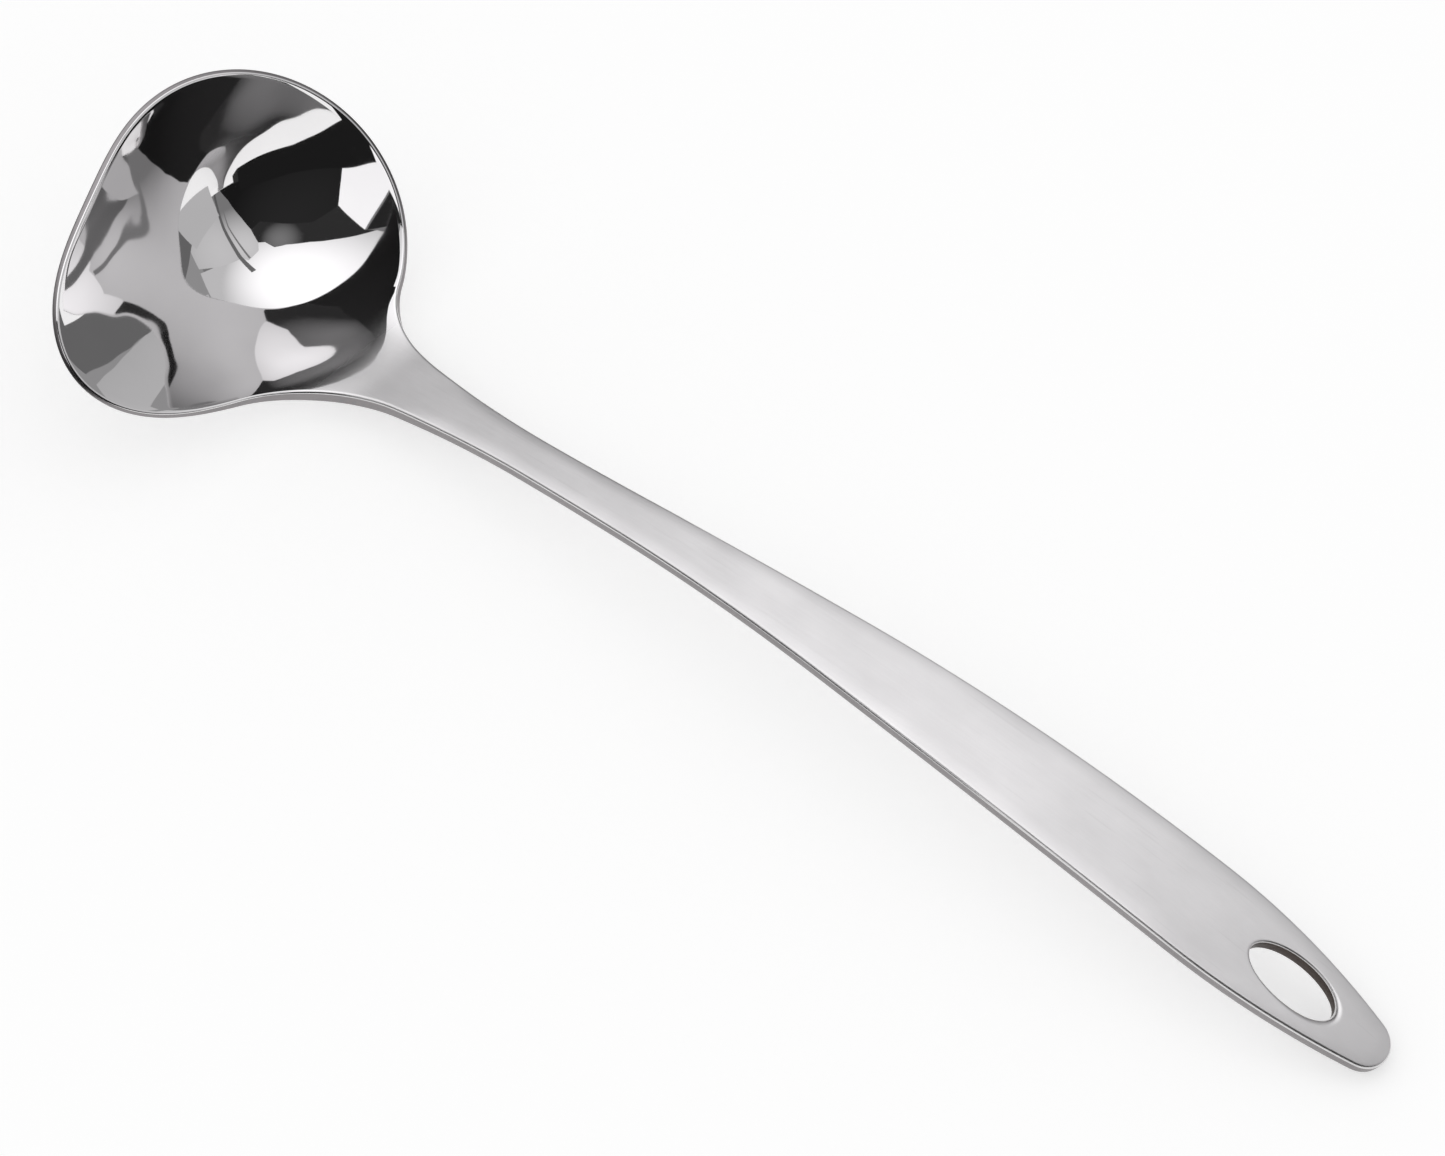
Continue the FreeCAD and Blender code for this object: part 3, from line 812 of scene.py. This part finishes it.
    def blank(self) -> bpy.types.Object:
        """Make the upper skin, with its marks, as an object.

        Returns:
            The object, which has no thickness yet.
        """
        far = self.sizes.handle_length - self.sizes.shoulder_from_tip + self.TIP_LEAD
        ring, ring_plan = self.add_bowl()
        self.add_tip(self.add_strap(self.add_neck(ring, ring_plan), far), far)
        marks = self.skin.merged()
        for numbers, away, corner, punched_and_shade in self.outline:
            marks["outward"][numbers] = away
            marks["corner"][numbers] = corner
            marks["punched_and_shade"][numbers] = punched_and_shade
        points = self.form.to_frame(marks["point"], True)
        normals = self.form.to_frame(marks["normal"], False)
        faces = []
        for face in self.skin.faces:
            a, b, c = points[face[0]], points[face[1]], points[face[2]]
            turned = np.dot(np.cross(b - a, c - a), normals[face[0]]) < 0.0
            faces.append(face[::-1] if turned else face)
        mesh = bpy.data.meshes.new("ladle_sheet")
        mesh.from_pydata(points.tolist(), [], faces)
        stored = {
            "press_normal": normals,
            "press_out": self.form.to_frame(marks["outward"], False),
            "press_gauge": marks["gauge"] * MM,
            "press_corner": marks["corner"] * MM,
            "polish": marks["polish"],
            "punched_and_shade": marks["punched_and_shade"],
        }
        for name, values in stored.items():
            store_mark(mesh, name, values)
        return put_in_scene("ladle_sheet", mesh)

    def mesh(self, material: bpy.types.Material) -> bpy.types.Object:
        """Give the skin its thickness and its soft edges.

        Args:
            material: The steel's material.

        Returns:
            The finished visible ladle.
        """
        sheet = self.blank()
        tree = ThicknessTree("press_sheet").build()
        modifier = sheet.modifiers.new("press", "NODES")
        modifier.node_group = tree
        sockets = {item.name: item.identifier for item in tree.interface.items_tree}
        modifier[sockets["Corner softness"]] = 1.0
        modifier[sockets["Steel"]] = material
        graph = bpy.context.evaluated_depsgraph_get()
        made = bpy.data.meshes.new_from_object(sheet.evaluated_get(graph))
        sheet.modifiers.remove(modifier)
        old = sheet.data
        sheet.data = made
        bpy.data.meshes.remove(old)
        work = bmesh.new()
        work.from_mesh(made)
        bmesh.ops.recalc_face_normals(work, faces=work.faces[:])
        open_edges = sum(1 for edge in work.edges if not edge.is_manifold)
        LOG.info("sheet: %d faces, %d open edges", len(work.faces), open_edges)
        work.to_mesh(made)
        work.free()
        made.shade_smooth()
        return sheet


def fresh_material(name: str) -> bpy.types.Material:
    """Make a material with an empty node tree.

    Args:
        name: Name of the material.

    Returns:
        The material.
    """
    made = bpy.data.materials.new(name)
    made.use_nodes = True
    made.node_tree.nodes.clear()
    return made


class NodeBench:
    """Adds nodes to one tree and links them up."""

    def __init__(self, tree: bpy.types.NodeTree) -> None:
        """Keep the tree to work on."""
        self.tree = tree

    def add(
        self, kind: str, inputs: dict[str | int, object] | None = None, **settings: object
    ) -> bpy.types.Node:
        """Add a node.

        Args:
            kind: Type of the node.
            inputs: The socket that feeds each input, or the value that it holds.
            settings: Properties of the node.

        Returns:
            The new node.
        """
        made = self.tree.nodes.new(kind)
        for name, value in settings.items():
            setattr(made, name, value)
        for place, value in (inputs or {}).items():
            if isinstance(value, Socket):
                self.tree.links.new(value, made.inputs[place])
            else:
                made.inputs[place].default_value = value
        return made

    def maths(self, operation: str, a: Socket, b: Socket | float) -> Socket:
        """Work with a socket and a second socket or a number."""
        return self.add("ShaderNodeMath", {0: a, 1: b}, operation=operation).outputs[0]


class ThicknessTree(NodeBench):
    """Geometry Nodes tree that thickens a skin and rounds every edge of it.

    The skin's boundary is extruded in short steps round the upper corner, down the cut
    edge and round the lower corner, until it meets a copy of the skin that forms the
    lower face.
    """

    CORNER_STEPS = 5
    WELD = 8e-6  # metres; the extruded edge ends within 6 micrometres of the lower skin

    def __init__(self, name: str) -> None:
        """Make an empty tree of that name."""
        super().__init__(bpy.data.node_groups.new(name, "GeometryNodeTree"))

    def named(self, name: str, kind: str) -> Socket:
        """Read a mark of the skin, of the given data type."""
        reader = self.add("GeometryNodeInputNamedAttribute", {"Name": name}, data_type=kind)
        return reader.outputs["Attribute"]

    def moved(
        self,
        out: Socket,
        sideways: float,
        normal: Socket,
        upwards: float,
        corner: Socket,
    ) -> Socket:
        """Give one step round a corner.

        Args:
            out: Direction out across the edge.
            sideways: Share of the corner's radius to go that way.
            normal: Direction up from the skin.
            upwards: Share of the radius to go that way.
            corner: Radius of the corner.

        Returns:
            The step's socket.
        """
        across = self.scaled(out, self.maths("MULTIPLY", corner, sideways))
        rise = self.scaled(normal, self.maths("MULTIPLY", corner, upwards))
        return self.add("ShaderNodeVectorMath", {0: across, 1: rise}, operation="ADD").outputs[0]

    def scaled(self, vector: Socket, scale: Socket) -> Socket:
        """Multiply a vector by a field."""
        inputs = {0: vector, "Scale": scale}
        return self.add("ShaderNodeVectorMath", inputs, operation="SCALE").outputs[0]

    def interface(self) -> None:
        """Name the tree's inputs and its output."""
        face = self.tree.interface
        face.new_socket("Skin", in_out="INPUT", socket_type="NodeSocketGeometry")
        softness = face.new_socket("Corner softness", in_out="INPUT", socket_type="NodeSocketFloat")
        softness.default_value = 1.0
        face.new_socket("Steel", in_out="INPUT", socket_type="NodeSocketMaterial")
        face.new_socket("Sheet", in_out="OUTPUT", socket_type="NodeSocketGeometry")

    def build(self) -> bpy.types.NodeTree:
        """Build the tree.

        Returns:
            The finished tree.
        """
        self.interface()
        start = self.add("NodeGroupInput")
        normal = self.named("press_normal", "FLOAT_VECTOR")
        out = self.named("press_out", "FLOAT_VECTOR")
        gauge = self.named("press_gauge", "FLOAT")
        radius = self.named("press_corner", "FLOAT")
        corner = self.maths("MULTIPLY", radius, start.outputs["Corner softness"])

        count = self.CORNER_STEPS
        turns = [math.pi / 2.0 * k / count for k in range(count + 1)]
        pairs = list(zip(turns, turns[1:]))
        offsets = [
            self.moved(out, math.sin(b) - math.sin(a), normal, math.cos(b) - math.cos(a), corner)
            for a, b in pairs
        ]
        wall = self.maths("SUBTRACT", gauge, self.maths("MULTIPLY", corner, 2.0))
        offsets.append(self.scaled(normal, self.maths("MULTIPLY", wall, -1.0)))
        offsets += [
            self.moved(out, math.cos(b) - math.cos(a), normal, math.sin(a) - math.sin(b), corner)
            for a, b in pairs
        ]

        neighbours = self.add("GeometryNodeInputMeshEdgeNeighbors")
        inputs = {"A": neighbours.outputs["Face Count"], "B": 1}
        single = self.add("FunctionNodeCompare", inputs, data_type="INT", operation="EQUAL")
        geometry = start.outputs["Skin"]
        selection = single.outputs["Result"]
        for place, offset in enumerate(offsets):
            inputs = {
                "Mesh": geometry,
                "Selection": selection,
                "Offset": offset,
                "Offset Scale": 1.0,
            }
            step = self.add("GeometryNodeExtrudeMesh", inputs, mode="EDGES")
            geometry, selection = step.outputs["Mesh"], step.outputs["Top"]
            if place == count:
                geometry = self.marked_cut(geometry, step.outputs["Side"])

        below = self.scaled(normal, self.maths("MULTIPLY", gauge, -1.0))
        inputs = {"Geometry": start.outputs["Skin"], "Offset": below}
        lower = self.add("GeometryNodeSetPosition", inputs)
        flipped = self.add("GeometryNodeFlipFaces", {"Mesh": lower.outputs["Geometry"]})
        both = self.add("GeometryNodeJoinGeometry", {"Geometry": geometry})
        self.tree.links.new(flipped.outputs["Mesh"], both.inputs["Geometry"])
        inputs = {"Geometry": both.outputs["Geometry"], "Distance": self.WELD}
        weld = self.add("GeometryNodeMergeByDistance", inputs)
        real = self.add("GeometryNodeRealizeInstances", {"Geometry": weld.outputs["Geometry"]})
        inputs = {"Geometry": real.outputs["Geometry"], "Material": start.outputs["Steel"]}
        steel = self.add("GeometryNodeSetMaterial", inputs)
        self.add("NodeGroupOutput", {"Sheet": steel.outputs["Geometry"]})
        return self.tree

    def marked_cut(self, geometry: Socket, side: Socket) -> Socket:
        """Mark the faces of the cut edge, for the material.

        Args:
            geometry: The mesh.
            side: Selection of the faces.

        Returns:
            The marked mesh's socket.
        """
        kind = "GeometryNodeStoreNamedAttribute"
        inputs = {"Geometry": geometry, "Selection": side, "Name": "cut", "Value": 1.0}
        mark = self.add(kind, inputs, data_type="FLOAT", domain="FACE")
        return mark.outputs["Geometry"]


@dataclass(frozen=True)
class SteelLook:
    """One finish of the steel.

    The roughness varies by the spread either way. The relief is how deep the surface's
    unevenness is, in metres, and the closeness says how near its ripples stand along each
    axis, per metre. The mottle and the scratches say by what share they change the colour.
    """

    name: str
    colour: tuple[float, float, float]
    roughness: float
    spread: float
    relief: float
    closeness: tuple[float, float, float]
    detail: float
    mottle: float
    scratches: float


MIRROR = SteelLook(
    name="mirror",
    colour=(0.86, 0.85, 0.855),
    roughness=0.03,
    spread=0.012,
    relief=0.00017,
    closeness=(58.0, 58.0, 58.0),
    detail=1.0,
    mottle=0.03,
    scratches=0.0,
)
SATIN = SteelLook(
    name="satin",
    colour=(0.755, 0.745, 0.748),
    roughness=0.31,
    spread=0.05,
    relief=0.000012,
    closeness=(45.0, 1500.0, 1500.0),
    detail=3.0,
    mottle=0.12,
    scratches=0.035,
)
# Cut walls: a rougher ground finish, and painted shade that darkens the colour well below bare
# steel
GROUND_AND_SHADE = SteelLook(
    name="ground_and_shade",
    colour=(0.31, 0.295, 0.30),
    roughness=0.36,
    spread=0.06,
    relief=0.00001,
    closeness=(90.0, 1400.0, 1400.0),
    detail=3.0,
    mottle=0.15,
    scratches=0.0,
)
# The punched hole's wall: rougher, with painted shade that makes its colour nearly black
PUNCHED_AND_SHADE = SteelLook(
    name="punched_and_shade",
    colour=(0.055, 0.042, 0.037),
    roughness=0.40,
    spread=0.14,
    relief=0.00006,
    closeness=(1400.0, 1400.0, 1400.0),
    detail=3.0,
    mottle=0.65,
    scratches=0.0,
)


class SteelMaterial(NodeBench):
    """Stainless steel that runs from a mirror polish into a brushed satin."""

    CLOUDS = (70.0, 110.0, 110.0)  # how near they stand along each axis, per metre
    CLOUD_DETAIL = 4.0
    SCRATCHES = (48.0, 1500.0, 420.0)  # how near they stand, per metre
    SCRATCH_DETAIL = 1.0
    SCRATCH_START = 0.70  # value of the noise where a scratch begins
    SCRATCH_WIDTH = 0.03  # what is added to it where the scratch is full

    def __init__(self, name: str) -> None:
        """Make an empty material of that name."""
        self.material = fresh_material(name)
        super().__init__(self.material.node_tree)

    def noise(self, scale: tuple[float, float, float], detail: float) -> Socket:
        """Add a noise in the object's own space.

        Args:
            scale: How close the noise is along each axis, per metre.
            detail: How many finer layers it has.

        Returns:
            The noise's value.
        """
        place = self.add("ShaderNodeTexCoord").outputs["Object"]
        mapping = self.add("ShaderNodeMapping", {"Vector": place, "Scale": scale})
        inputs = {"Vector": mapping.outputs["Vector"], "Scale": 1.0, "Detail": detail}
        return self.add("ShaderNodeTexNoise", inputs).outputs["Fac"]

    def ranged(
        self,
        value: Socket,
        low: float,
        high: float,
        start: float = 0.0,
        end: float = 1.0,
    ) -> Socket:
        """Map a value between start and end to a range.

        Args:
            value: The value.
            low: What the start becomes.
            high: What the end becomes.
            start: Where the range begins.
            end: Where it ends.

        Returns:
            The mapped value's socket.
        """
        inputs = {"Value": value, "From Min": start, "From Max": end, "To Min": low, "To Max": high}
        return self.add("ShaderNodeMapRange", inputs).outputs["Result"]

    def shader(self, look: SteelLook) -> Socket:
        """Add the shader of one finish.

        Args:
            look: The finish.

        Returns:
            The shader's socket.
        """
        grain = self.noise(look.closeness, look.detail)
        bump = self.add("ShaderNodeBump", {"Distance": look.relief, "Height": grain})
        rough = self.ranged(grain, look.roughness - look.spread, look.roughness + look.spread)
        inputs = {
            "Base Color": self.tint(look),
            "Metallic": 1.0,
            "Roughness": rough,
            "Normal": bump.outputs["Normal"],
        }
        return self.add("ShaderNodeBsdfPrincipled", inputs, name=look.name).outputs["BSDF"]

    def tint(self, look: SteelLook) -> Socket:
        """Let a finish's colour drift a little in clouds, with a few fine scratches.

        Args:
            look: The finish.

        Returns:
            The colour's socket.
        """
        clouds = self.noise(self.CLOUDS, self.CLOUD_DETAIL)
        cloud = self.ranged(clouds, 1.0 - look.mottle, 1.0 + look.mottle)
        start, end = self.SCRATCH_START, self.SCRATCH_START + self.SCRATCH_WIDTH
        scratches = self.noise(self.SCRATCHES, self.SCRATCH_DETAIL)
        fine = self.ranged(scratches, 1.0, 1.0 - look.scratches, start, end)
        inputs = {0: look.colour, "Scale": self.maths("MULTIPLY", cloud, fine)}
        return self.add("ShaderNodeVectorMath", inputs, operation="SCALE").outputs[0]

    def mixed(self, mark: str, low: Socket, high: Socket) -> Socket:
        """Mix two shaders by a mark of the mesh.

        Args:
            mark: Name of the mark.
            low: Shader where the mark is 0.
            high: Shader where it is 1.

        Returns:
            The mixed shader's socket.
        """
        reader = self.add("ShaderNodeAttribute", attribute_name=mark)
        inputs = {0: reader.outputs["Fac"], 1: low, 2: high}
        return self.add("ShaderNodeMixShader", inputs).outputs["Shader"]

    def build(self) -> bpy.types.Material:
        """Build the material.

        Returns:
            The finished material.
        """
        faces = self.mixed("polish", self.shader(SATIN), self.shader(MIRROR))
        # Painted shade on the cut walls: the darkened ground colour, and the near-black colour on
        # the hanging hole's wall
        walls = self.mixed("punched_and_shade", self.shader(GROUND_AND_SHADE), self.shader(PUNCHED_AND_SHADE))
        self.add("ShaderNodeOutputMaterial", {"Surface": self.mixed("cut", faces, walls)})
        return self.material


@dataclass(frozen=True)
class Panel:
    """A plain tone of the studio, as an outline seen from the bowl.

    Each corner is a direction: its distance from the middle is the angle down from the
    zenith in degrees, and its bearing is the direction's own, with +X to the right. The
    tone runs from the glow's point to what it is at the reach and beyond.
    """

    name: str
    corners: tuple[tuple[float, float], ...]
    tone: float
    edge_tone: float
    glow: tuple[float, float] = (0.0, 0.0)
    reach: float = 90.0


@dataclass(frozen=True)
class Card:
    """A low card that stands on the floor and shows only in the steel, in metres."""

    name: str
    start: tuple[float, float]
    end: tuple[float, float]
    height: float
    tone: float


WINDOW = Panel(
    "window",
    ((-23.0, -50.0), (0.0, -61.0), (17.0, -92.0), (-18.0, -88.0)),
    tone=1.12,
    edge_tone=1.02,
)
SLIT = Panel(
    "slit",
    ((-32.0, -52.0), (-24.0, -50.0), (-19.0, -88.0), (-26.0, -84.0)),
    tone=0.02,
    edge_tone=0.02,
)
DARK_ROOM = Panel(
    "dark_room",
    (
        (45.0, -12.0), (60.0, -11.0), (80.0, -7.0), (102.0, 5.0), (104.0, -30.0),
        (96.0, -62.0), (80.0, -90.0), (54.0, -102.0), (24.0, -100.0), (17.0, -92.0),
        (0.0, -61.0), (8.0, -47.0), (34.0, -32.0), (45.0, -24.0),
    ),
    tone=0.022,
    edge_tone=0.010,
    glow=(20.0, -40.0),
    reach=60.0,
)
DUSK = Panel(
    "dusk",
    (
        (0.0, -34.0), (12.0, -24.0), (18.0, -16.0), (27.0, -14.0), (31.0, -9.0), (45.0, -12.0),
        (45.0, -24.0), (34.0, -32.0), (8.0, -47.0), (0.0, -61.0), (-23.0, -50.0), (-28.0, -50.0),
    ),
    tone=0.20,
    edge_tone=0.03,
    glow=(19.0, -24.0),
    reach=17.0,
)
CEILING = Panel(
    "ceiling",
    (
        (26.0, 58.0), (29.0, 45.0), (28.0, 14.0), (23.0, 10.0), (25.0, -4.0), (31.0, -9.0),
        (27.0, -14.0), (18.0, -16.0), (12.0, -24.0), (0.0, -34.0), (-28.0, -50.0),
        (-46.0, -44.0), (-54.0, 0.0), (-49.0, 24.0), (-38.0, 44.0), (-24.0, 56.0),
    ),
    tone=1.34,
    edge_tone=0.56,
    glow=(-14.0, -1.0),
    reach=54.0,
)
PALE_WALL = Panel(
    "pale_wall",
    (
        (28.0, 14.0), (29.0, 45.0), (30.0, 58.0), (70.0, 66.0), (96.0, 52.0), (100.0, 14.0),
        (70.0, 10.0),
    ),
    tone=0.60,
    edge_tone=0.40,
    glow=(40.0, 30.0),
    reach=50.0,
)
BACK_LIGHT = Panel(
    "back_light",
    ((-22.0, 58.0), (6.0, 58.0), (4.0, 78.0), (-24.0, 78.0)),
    tone=0.6,
    edge_tone=0.4,
)
BACK_WALL = Panel(
    "back_wall",
    ((-60.0, 55.0), (60.0, 55.0), (80.0, 90.0), (-80.0, 90.0)),
    tone=0.3,
    edge_tone=0.3,
)
NECK_WALL = Panel(
    "neck_wall",
    (
        (-38.0, 44.0), (-49.0, 24.0), (-54.0, 0.0), (-46.0, -44.0), (-70.0, -62.0), (-96.0, 0.0),
        (-70.0, 62.0),
    ),
    tone=0.07,
    edge_tone=0.16,
)
STREAK = Panel(
    "streak",
    (
        (12.0, 11.0), (30.0, 13.0), (60.0, 11.0), (95.0, 6.0), (95.0, 9.0), (60.0, 14.5),
        (30.0, 17.0), (12.0, 16.0),
    ),
    tone=0.16,
    edge_tone=0.10,
)
THIN_STREAK = Panel(
    "thin_streak",
    ((24.0, 6.5), (60.0, 6.0), (88.0, 0.0), (88.0, 1.0), (60.0, 7.5), (24.0, 8.5)),
    tone=0.2,
    edge_tone=0.2,
)
PANELS = (
    WINDOW, SLIT, DARK_ROOM, DUSK, STREAK, THIN_STREAK, CEILING, PALE_WALL, BACK_LIGHT, BACK_WALL,
    NECK_WALL,
)
CARDS = (
    Card("front_card", (-0.22, -0.075), (-0.055, -0.075), 0.035, 0.012),
    Card("neck_card", (-0.055, -0.075), (-0.01, -0.022), 0.035, 0.012),
    Card("handle_card", (-0.01, -0.022), (0.06, -0.03), 0.02, 0.03),
    Card("pale_card", (-0.02, 0.03), (-0.06, 0.09), 0.05, 0.5),
    Card("back_card", (-0.06, 0.09), (-0.28, 0.09), 0.04, 0.14),
)


class Studio:
    """Floor, surrounding tones, camera and background.

    The panels hang on domes round the bowl, and the first of them hangs nearest.
    """

    BOWL = np.array([-0.115, 0.005, 0.025])  # middle of the domes, in metres
    NEAREST = 1.75  # metres from there to the first panel
    SPACING = 0.03  # metres from each panel to the next
    FARTHEST = 2.1  # metres from the middle to the walls
    LONGEST_EDGE = 4.0  # degrees, past which a panel's edges are divided
    HORIZON = 91.0  # degrees down from the zenith where the walls end
    WALL_TURN = 10.0  # degrees from each corner of the walls' outline to the next
    WALL_TONE = 0.66
    WALL_END_TONE = 0.20
    WALL_GLOW = (34.0, 4.0)  # in degrees, as a panel's
    WALL_REACH = 40.0
    PANEL_TINT = (0.995, 0.99, 1.0, 1.0)
    DAYLIGHT = 0.72  # strength of the daylight on matt surfaces
    FLOOR_GLOW = 0.41  # what the floor adds for the camera and the steel
    FLOOR_COLOUR = (0.80, 0.80, 0.80, 1.0)
    FLOOR_RADIUS = 6.0  # metres
    FLOOR_TURN = 6.0  # degrees from each corner of the floor's edge to the next
    EYE = (0.16804, -0.183345, 0.345882)  # metres, as fitted to the photo
    # Directions to the right and down in the picture, and ahead of the camera.
    RIGHT = (0.762104, 0.647436, -0.004938)
    DOWN = (0.513299, -0.608823, -0.604862)
    AHEAD = (-0.394616, 0.458433, -0.796315)
    LENS = 56.344  # millimetres
    SENSOR = 36.0  # millimetres
    CLIP_START = 0.01  # metres

    def circle(self, radius: float, step: float) -> list[tuple[float, float]]:
        """Give the corners of a circle round the middle, a step of degrees apart."""
        turn = np.radians(np.arange(0.0, 360.0, step))
        return [(radius * math.cos(a), radius * math.sin(a)) for a in turn]

    def glow(self, name: str) -> bpy.types.Material:
        """Make a material that gives off the tone its mesh is marked with.

        Args:
            name: Name of the material.

        Returns:
            The material.
        """
        made = fresh_material(name)
        made.cycles.emission_sampling = "NONE"
        bench = NodeBench(made.node_tree)
        tone = bench.add("ShaderNodeAttribute", attribute_name="tone")
        inputs = {"Color": self.PANEL_TINT, "Strength": tone.outputs["Fac"]}
        light = bench.add("ShaderNodeEmission", inputs)
        bench.add("ShaderNodeOutputMaterial", {"Surface": light.outputs[0]})
        return made

    def hang(self, name: str, mesh: bpy.types.Mesh, tones: np.ndarray) -> None:
        """Put a mesh of the studio where only the steel's reflections show it.

        Args:
            name: Name of the object.
            mesh: Its mesh.
            tones: Tone of each vertex.
        """
        store_mark(mesh, "tone", tones)
        mesh.materials.append(self.glow(name))
        made = put_in_scene(name, mesh)
        made.visible_camera = False
        made.visible_diffuse = False
        made.visible_shadow = False

    def patch(self, panel: Panel, distance: float) -> None:
        """Hang one panel on a dome round the bowl.

        Args:
            panel: The panel.
            distance: Radius of the dome in metres.
        """
        work = bmesh.new()
        work.faces.new([work.verts.new((x, y, 0.0)) for x, y in panel.corners])
        bmesh.ops.triangulate(work, faces=work.faces[:])
        while long := [edge for edge in work.edges if edge.calc_length() > self.LONGEST_EDGE]:
            bmesh.ops.subdivide_edges(work, edges=long, cuts=1)
            bmesh.ops.triangulate(work, faces=work.faces[:])
        flat = np.array([vert.co[:2] for vert in work.verts])
        down = np.radians(np.hypot(flat[:, 0], flat[:, 1]))
        bearing = np.arctan2(flat[:, 1], flat[:, 0])
        around = np.sin(down)
        unit = np.stack([around * np.cos(bearing), around * np.sin(bearing), np.cos(down)], -1)
        for vert, place in zip(work.verts, self.BOWL + unit * distance):
            vert.co = place
        mesh = bpy.data.meshes.new(panel.name)
        work.to_mesh(mesh)
        work.free()
        away = np.linalg.norm(flat - np.array(panel.glow), axis=1) / panel.reach
        share = np.clip(1.0 - away**2, 0.0, 1.0)
        self.hang(panel.name, mesh, panel.edge_tone + (panel.tone - panel.edge_tone) * share)

    def stand(self, card: Card) -> None:
        """Stand one low card on the floor.

        Args:
            card: The card.
        """
        (x0, y0), (x1, y1) = card.start, card.end
        corners = [(x0, y0, 0.0), (x1, y1, 0.0), (x1, y1, card.height), (x0, y0, card.height)]
        mesh = bpy.data.meshes.new(card.name)
        mesh.from_pydata(corners, [], [(0, 1, 2, 3)])
        self.hang(card.name, mesh, np.full(len(corners), card.tone))

    def surround(self) -> None:
        """Stand the dome of grey walls, its panels and the cards round the ladle."""
        ring = tuple(self.circle(self.HORIZON, self.WALL_TURN))
        tones = (self.WALL_TONE, self.WALL_END_TONE, self.WALL_GLOW, self.WALL_REACH)
        self.patch(Panel("walls", ring, *tones), self.FARTHEST)
        for place, panel in enumerate(PANELS):
            self.patch(panel, self.NEAREST + self.SPACING * place)
        for card in CARDS:
            self.stand(card)

    def floor(self) -> None:
        """Lay a plain pale floor that keeps the ladle's soft shadow."""
        mesh = bpy.data.meshes.new("floor")
        ring = [(x, y, 0.0) for x, y in self.circle(self.FLOOR_RADIUS, self.FLOOR_TURN)]
        mesh.from_pydata(ring, [], [tuple(range(len(ring)))])
        floor = put_in_scene("floor", mesh)
        made = fresh_material("floor")
        bench = NodeBench(made.node_tree)
        matt = bench.add("ShaderNodeBsdfDiffuse", {"Color": self.FLOOR_COLOUR})
        inputs = {"Color": WHITE, "Strength": self.seen(bench, 0.0, self.FLOOR_GLOW)}
        glow = bench.add("ShaderNodeEmission", inputs)
        both = bench.add("ShaderNodeAddShader", {0: matt.outputs[0], 1: glow.outputs[0]})
        bench.add("ShaderNodeOutputMaterial", {"Surface": both.outputs[0]})
        mesh.materials.append(made)

    def seen(self, bench: NodeBench, lit: float, shown: float) -> Socket:
        """Give one strength to light and another to what the camera and the steel see.

        Args:
            bench: The tree of the material or world.
            lit: Strength for light that falls on matt surfaces.
            shown: Strength straight ahead, mirrored or through glass.

        Returns:
            The strength's socket.
        """
        rays = bench.add("ShaderNodeLightPath").outputs
        straight = bench.maths("ADD", rays["Is Camera Ray"], rays["Is Glossy Ray"])
        inputs = {0: straight, 1: rays["Is Transmission Ray"]}
        any_of = bench.add("ShaderNodeMath", inputs, operation="ADD", use_clamp=True)
        inputs = {"Value": any_of.outputs[0], "To Min": lit, "To Max": shown}
        return bench.add("ShaderNodeMapRange", inputs).outputs["Result"]

    def background(self) -> None:
        """Set the plain white background, and the soft daylight that lights the floor."""
        world = bpy.data.worlds.new("studio")
        bpy.context.scene.world = world
        world.use_nodes = True
        inputs = world.node_tree.nodes["Background"].inputs
        inputs["Color"].default_value = WHITE
        strength = self.seen(NodeBench(world.node_tree), self.DAYLIGHT, 1.0)
        world.node_tree.links.new(strength, inputs["Strength"])

    def camera(self) -> None:
        """Stand the camera where the photo was taken from."""
        data = bpy.data.cameras.new("camera")
        data.sensor_fit = "HORIZONTAL"
        data.sensor_width = self.SENSOR
        data.lens = self.LENS
        data.clip_start = self.CLIP_START
        camera = put_in_scene("camera", data)
        rows = Matrix((self.RIGHT, [-v for v in self.DOWN], [-v for v in self.AHEAD]))
        camera.matrix_world = Matrix.Translation(self.EYE) @ rows.transposed().to_4x4()
        bpy.context.scene.camera = camera

    def build(self) -> None:
        """Set the whole studio up."""
        scene = bpy.context.scene
        scene.view_settings.view_transform = "Standard"
        self.background()
        self.floor()
        self.surround()
        self.camera()


def plain(bounds: Iterable[Iterable[float]]) -> list[list[float]]:
    """Turn bounds into lists of plain numbers."""
    return [[float(value) for value in corner] for corner in bounds]


def main() -> None:
    """Build the ladle and its studio in order."""
    logging.basicConfig(level=logging.INFO, format="%(name)s: %(message)s")
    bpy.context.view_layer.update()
    steel = SteelMaterial("steel").build()
    sheet = LadleSheet(LadleSizes(), EdgeSizes(), MeshSteps()).mesh(steel)
    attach(sheet, "root")
    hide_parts("ladle")
    Studio().build()


if __name__ == "__main__":
    main()
